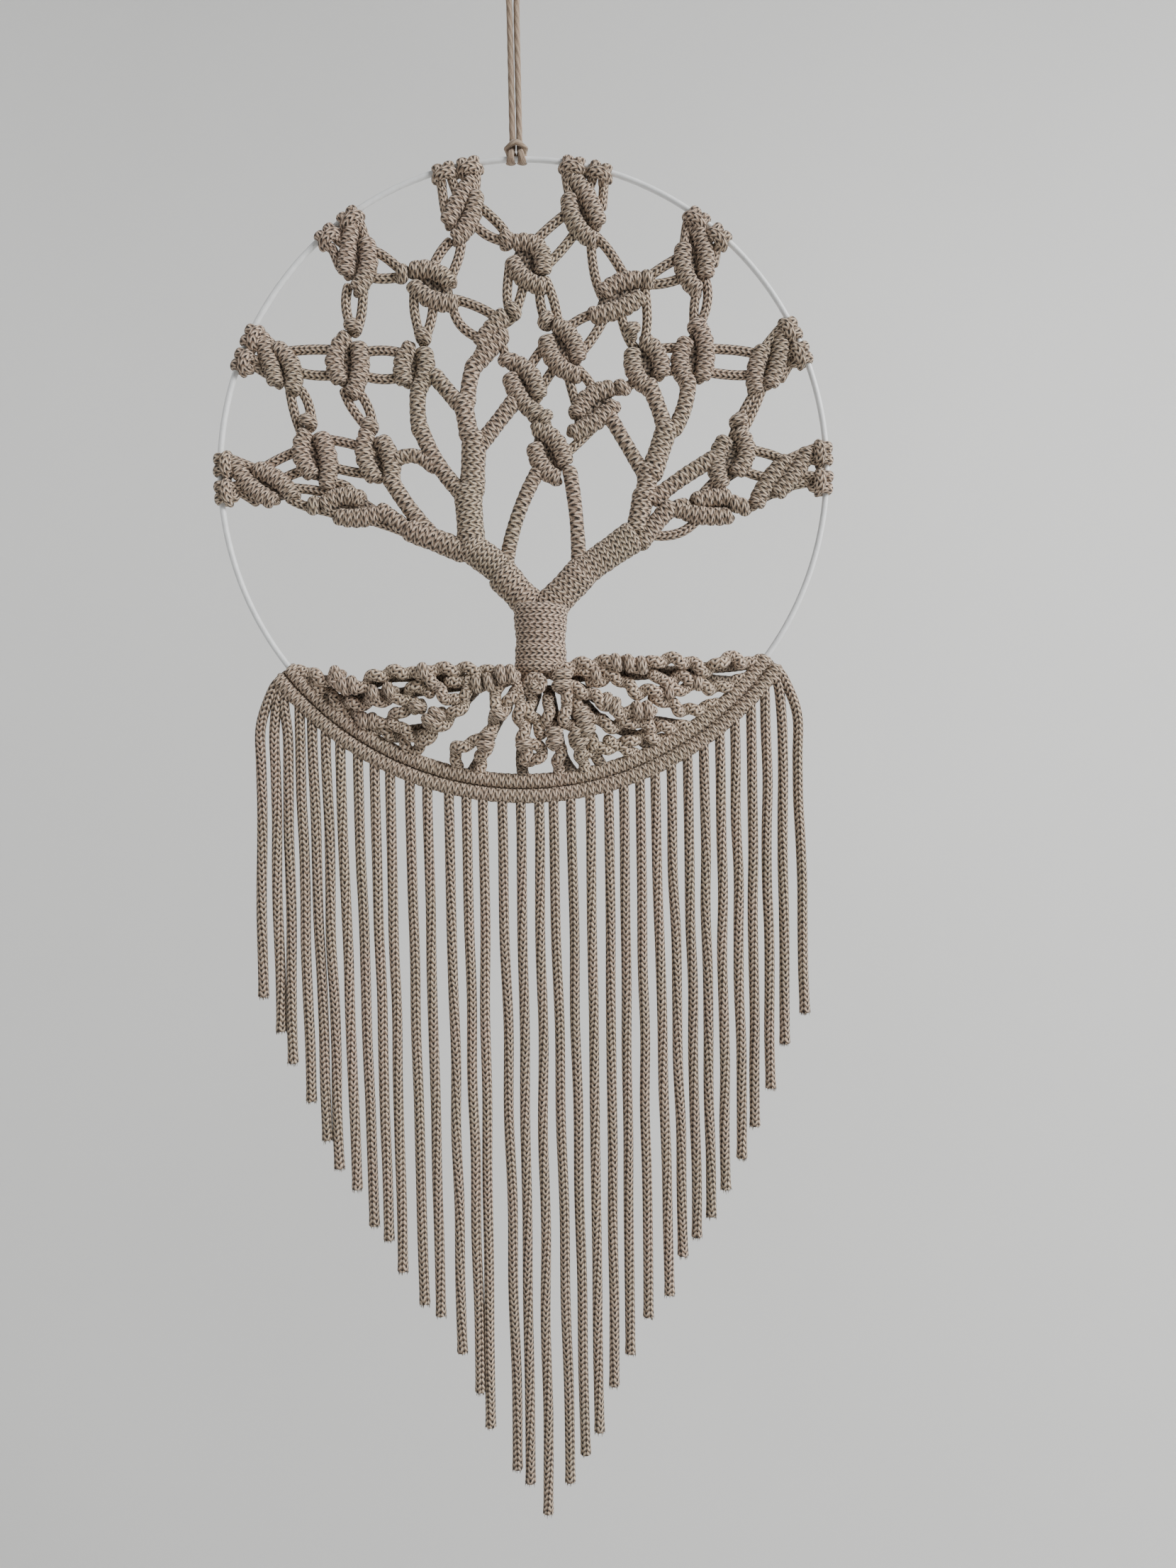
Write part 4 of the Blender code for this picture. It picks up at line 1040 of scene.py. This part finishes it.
def make_light(name, at, target, size, power):
    data = bpy.data.lights.new(name, "AREA")
    data.shape = "RECTANGLE"
    data.size, data.size_y = size
    data.energy = power
    lamp = bpy.data.objects.new(name, data)
    lamp.location = at
    lamp.rotation_mode = "QUATERNION"
    to_target = np.array(target) - np.array(at)
    lamp.rotation_quaternion = Vector(to_target).to_track_quat("-Z", "Y")
    bpy.context.scene.collection.objects.link(lamp)


STAGE_HALF_WIDTH = 4.0
STAGE_BACK = 1.6
STAGE_FRONT = -4.0
STAGE_FLOOR = -1.45
STAGE_TOP = 2.6
STAGE_BEND = 0.7


def make_stage():
    """A pale floor that bends up into a backdrop well behind the object."""
    bend = [(STAGE_BACK - STAGE_BEND + STAGE_BEND * math.sin(a),
             STAGE_FLOOR + STAGE_BEND - STAGE_BEND * math.cos(a))
            for a in np.radians(np.linspace(0, 90, 13))]
    profile = [(STAGE_FRONT, STAGE_TOP), (STAGE_FRONT, STAGE_FLOOR), *bend, (STAGE_BACK, STAGE_TOP)]
    points = [(x, y, z) for y, z in profile for x in (-STAGE_HALF_WIDTH, STAGE_HALF_WIDTH)]
    faces = [(2 * i, 2 * i + 1, 2 * i + 3, 2 * i + 2) for i in range(len(profile) - 1)]
    mesh = bpy.data.meshes.new("backdrop")
    mesh.from_pydata(points, [], faces)
    mesh.polygons.foreach_set("use_smooth", np.ones(len(faces), bool))
    mesh.materials.append(plain_wall("backdrop_paint"))
    stage = bpy.data.objects.new("backdrop", mesh)
    bpy.context.scene.collection.objects.link(stage)


def make_world(strength):
    world = bpy.data.worlds.new("studio")
    world.use_nodes = True
    background = world.node_tree.nodes["Background"]
    background.inputs["Color"].default_value = (0.95, 0.97, 1.0, 1.0)
    background.inputs["Strength"].default_value = strength
    bpy.context.scene.world = world


def main():
    make_camera()
    # After each name: a painted-shade colour for the creases (braid only), the cotton's own colour, and
    # a painted-highlight colour for the crests.
    string = twisted_cotton("string_cotton", (0.29, 0.21, 0.15), (0.46, 0.36, 0.28))
    make_loop(string)
    body, crest_highlight = (0.31, 0.228, 0.166), (0.70, 0.575, 0.465)
    cotton = braided_cotton("cord_cotton", (0.10, 0.064, 0.043), body, crest_highlight, OPEN_HOLE)
    wound_cotton = braided_cotton("wound_cotton", (0.155, 0.108, 0.078), body, crest_highlight, TIGHT_HOLE)
    root_cotton = braided_cotton("root_cotton", (0.20, 0.142, 0.104), (0.35, 0.26, 0.19),
                                 (0.76, 0.63, 0.515), ROOT_HOLE)
    make_hoop(white_paint("hoop_paint"))
    make_hitch(string)
    make_heads(wound_cotton)
    make_leaves(wound_cotton)
    make_links(cotton)
    make_limbs(wound_cotton)
    make_roots(root_cotton)
    make_bands(root_cotton)
    make_fringe(cotton)
    make_stage()
    make_world(0.11)
    make_light("window", (1.5, -1.15, 0.75), (0.0, 0.0, -0.4), (0.8, 1.0), 58.0)
    make_light("wall_right", (2.0, -0.2, 0.3), (0.6, 1.6, -0.4), (1.0, 2.0), 30.0)
    make_light("wall_left", (-2.0, -0.2, 0.3), (-0.6, 1.6, -0.4), (1.0, 2.0), 20.0)


main()
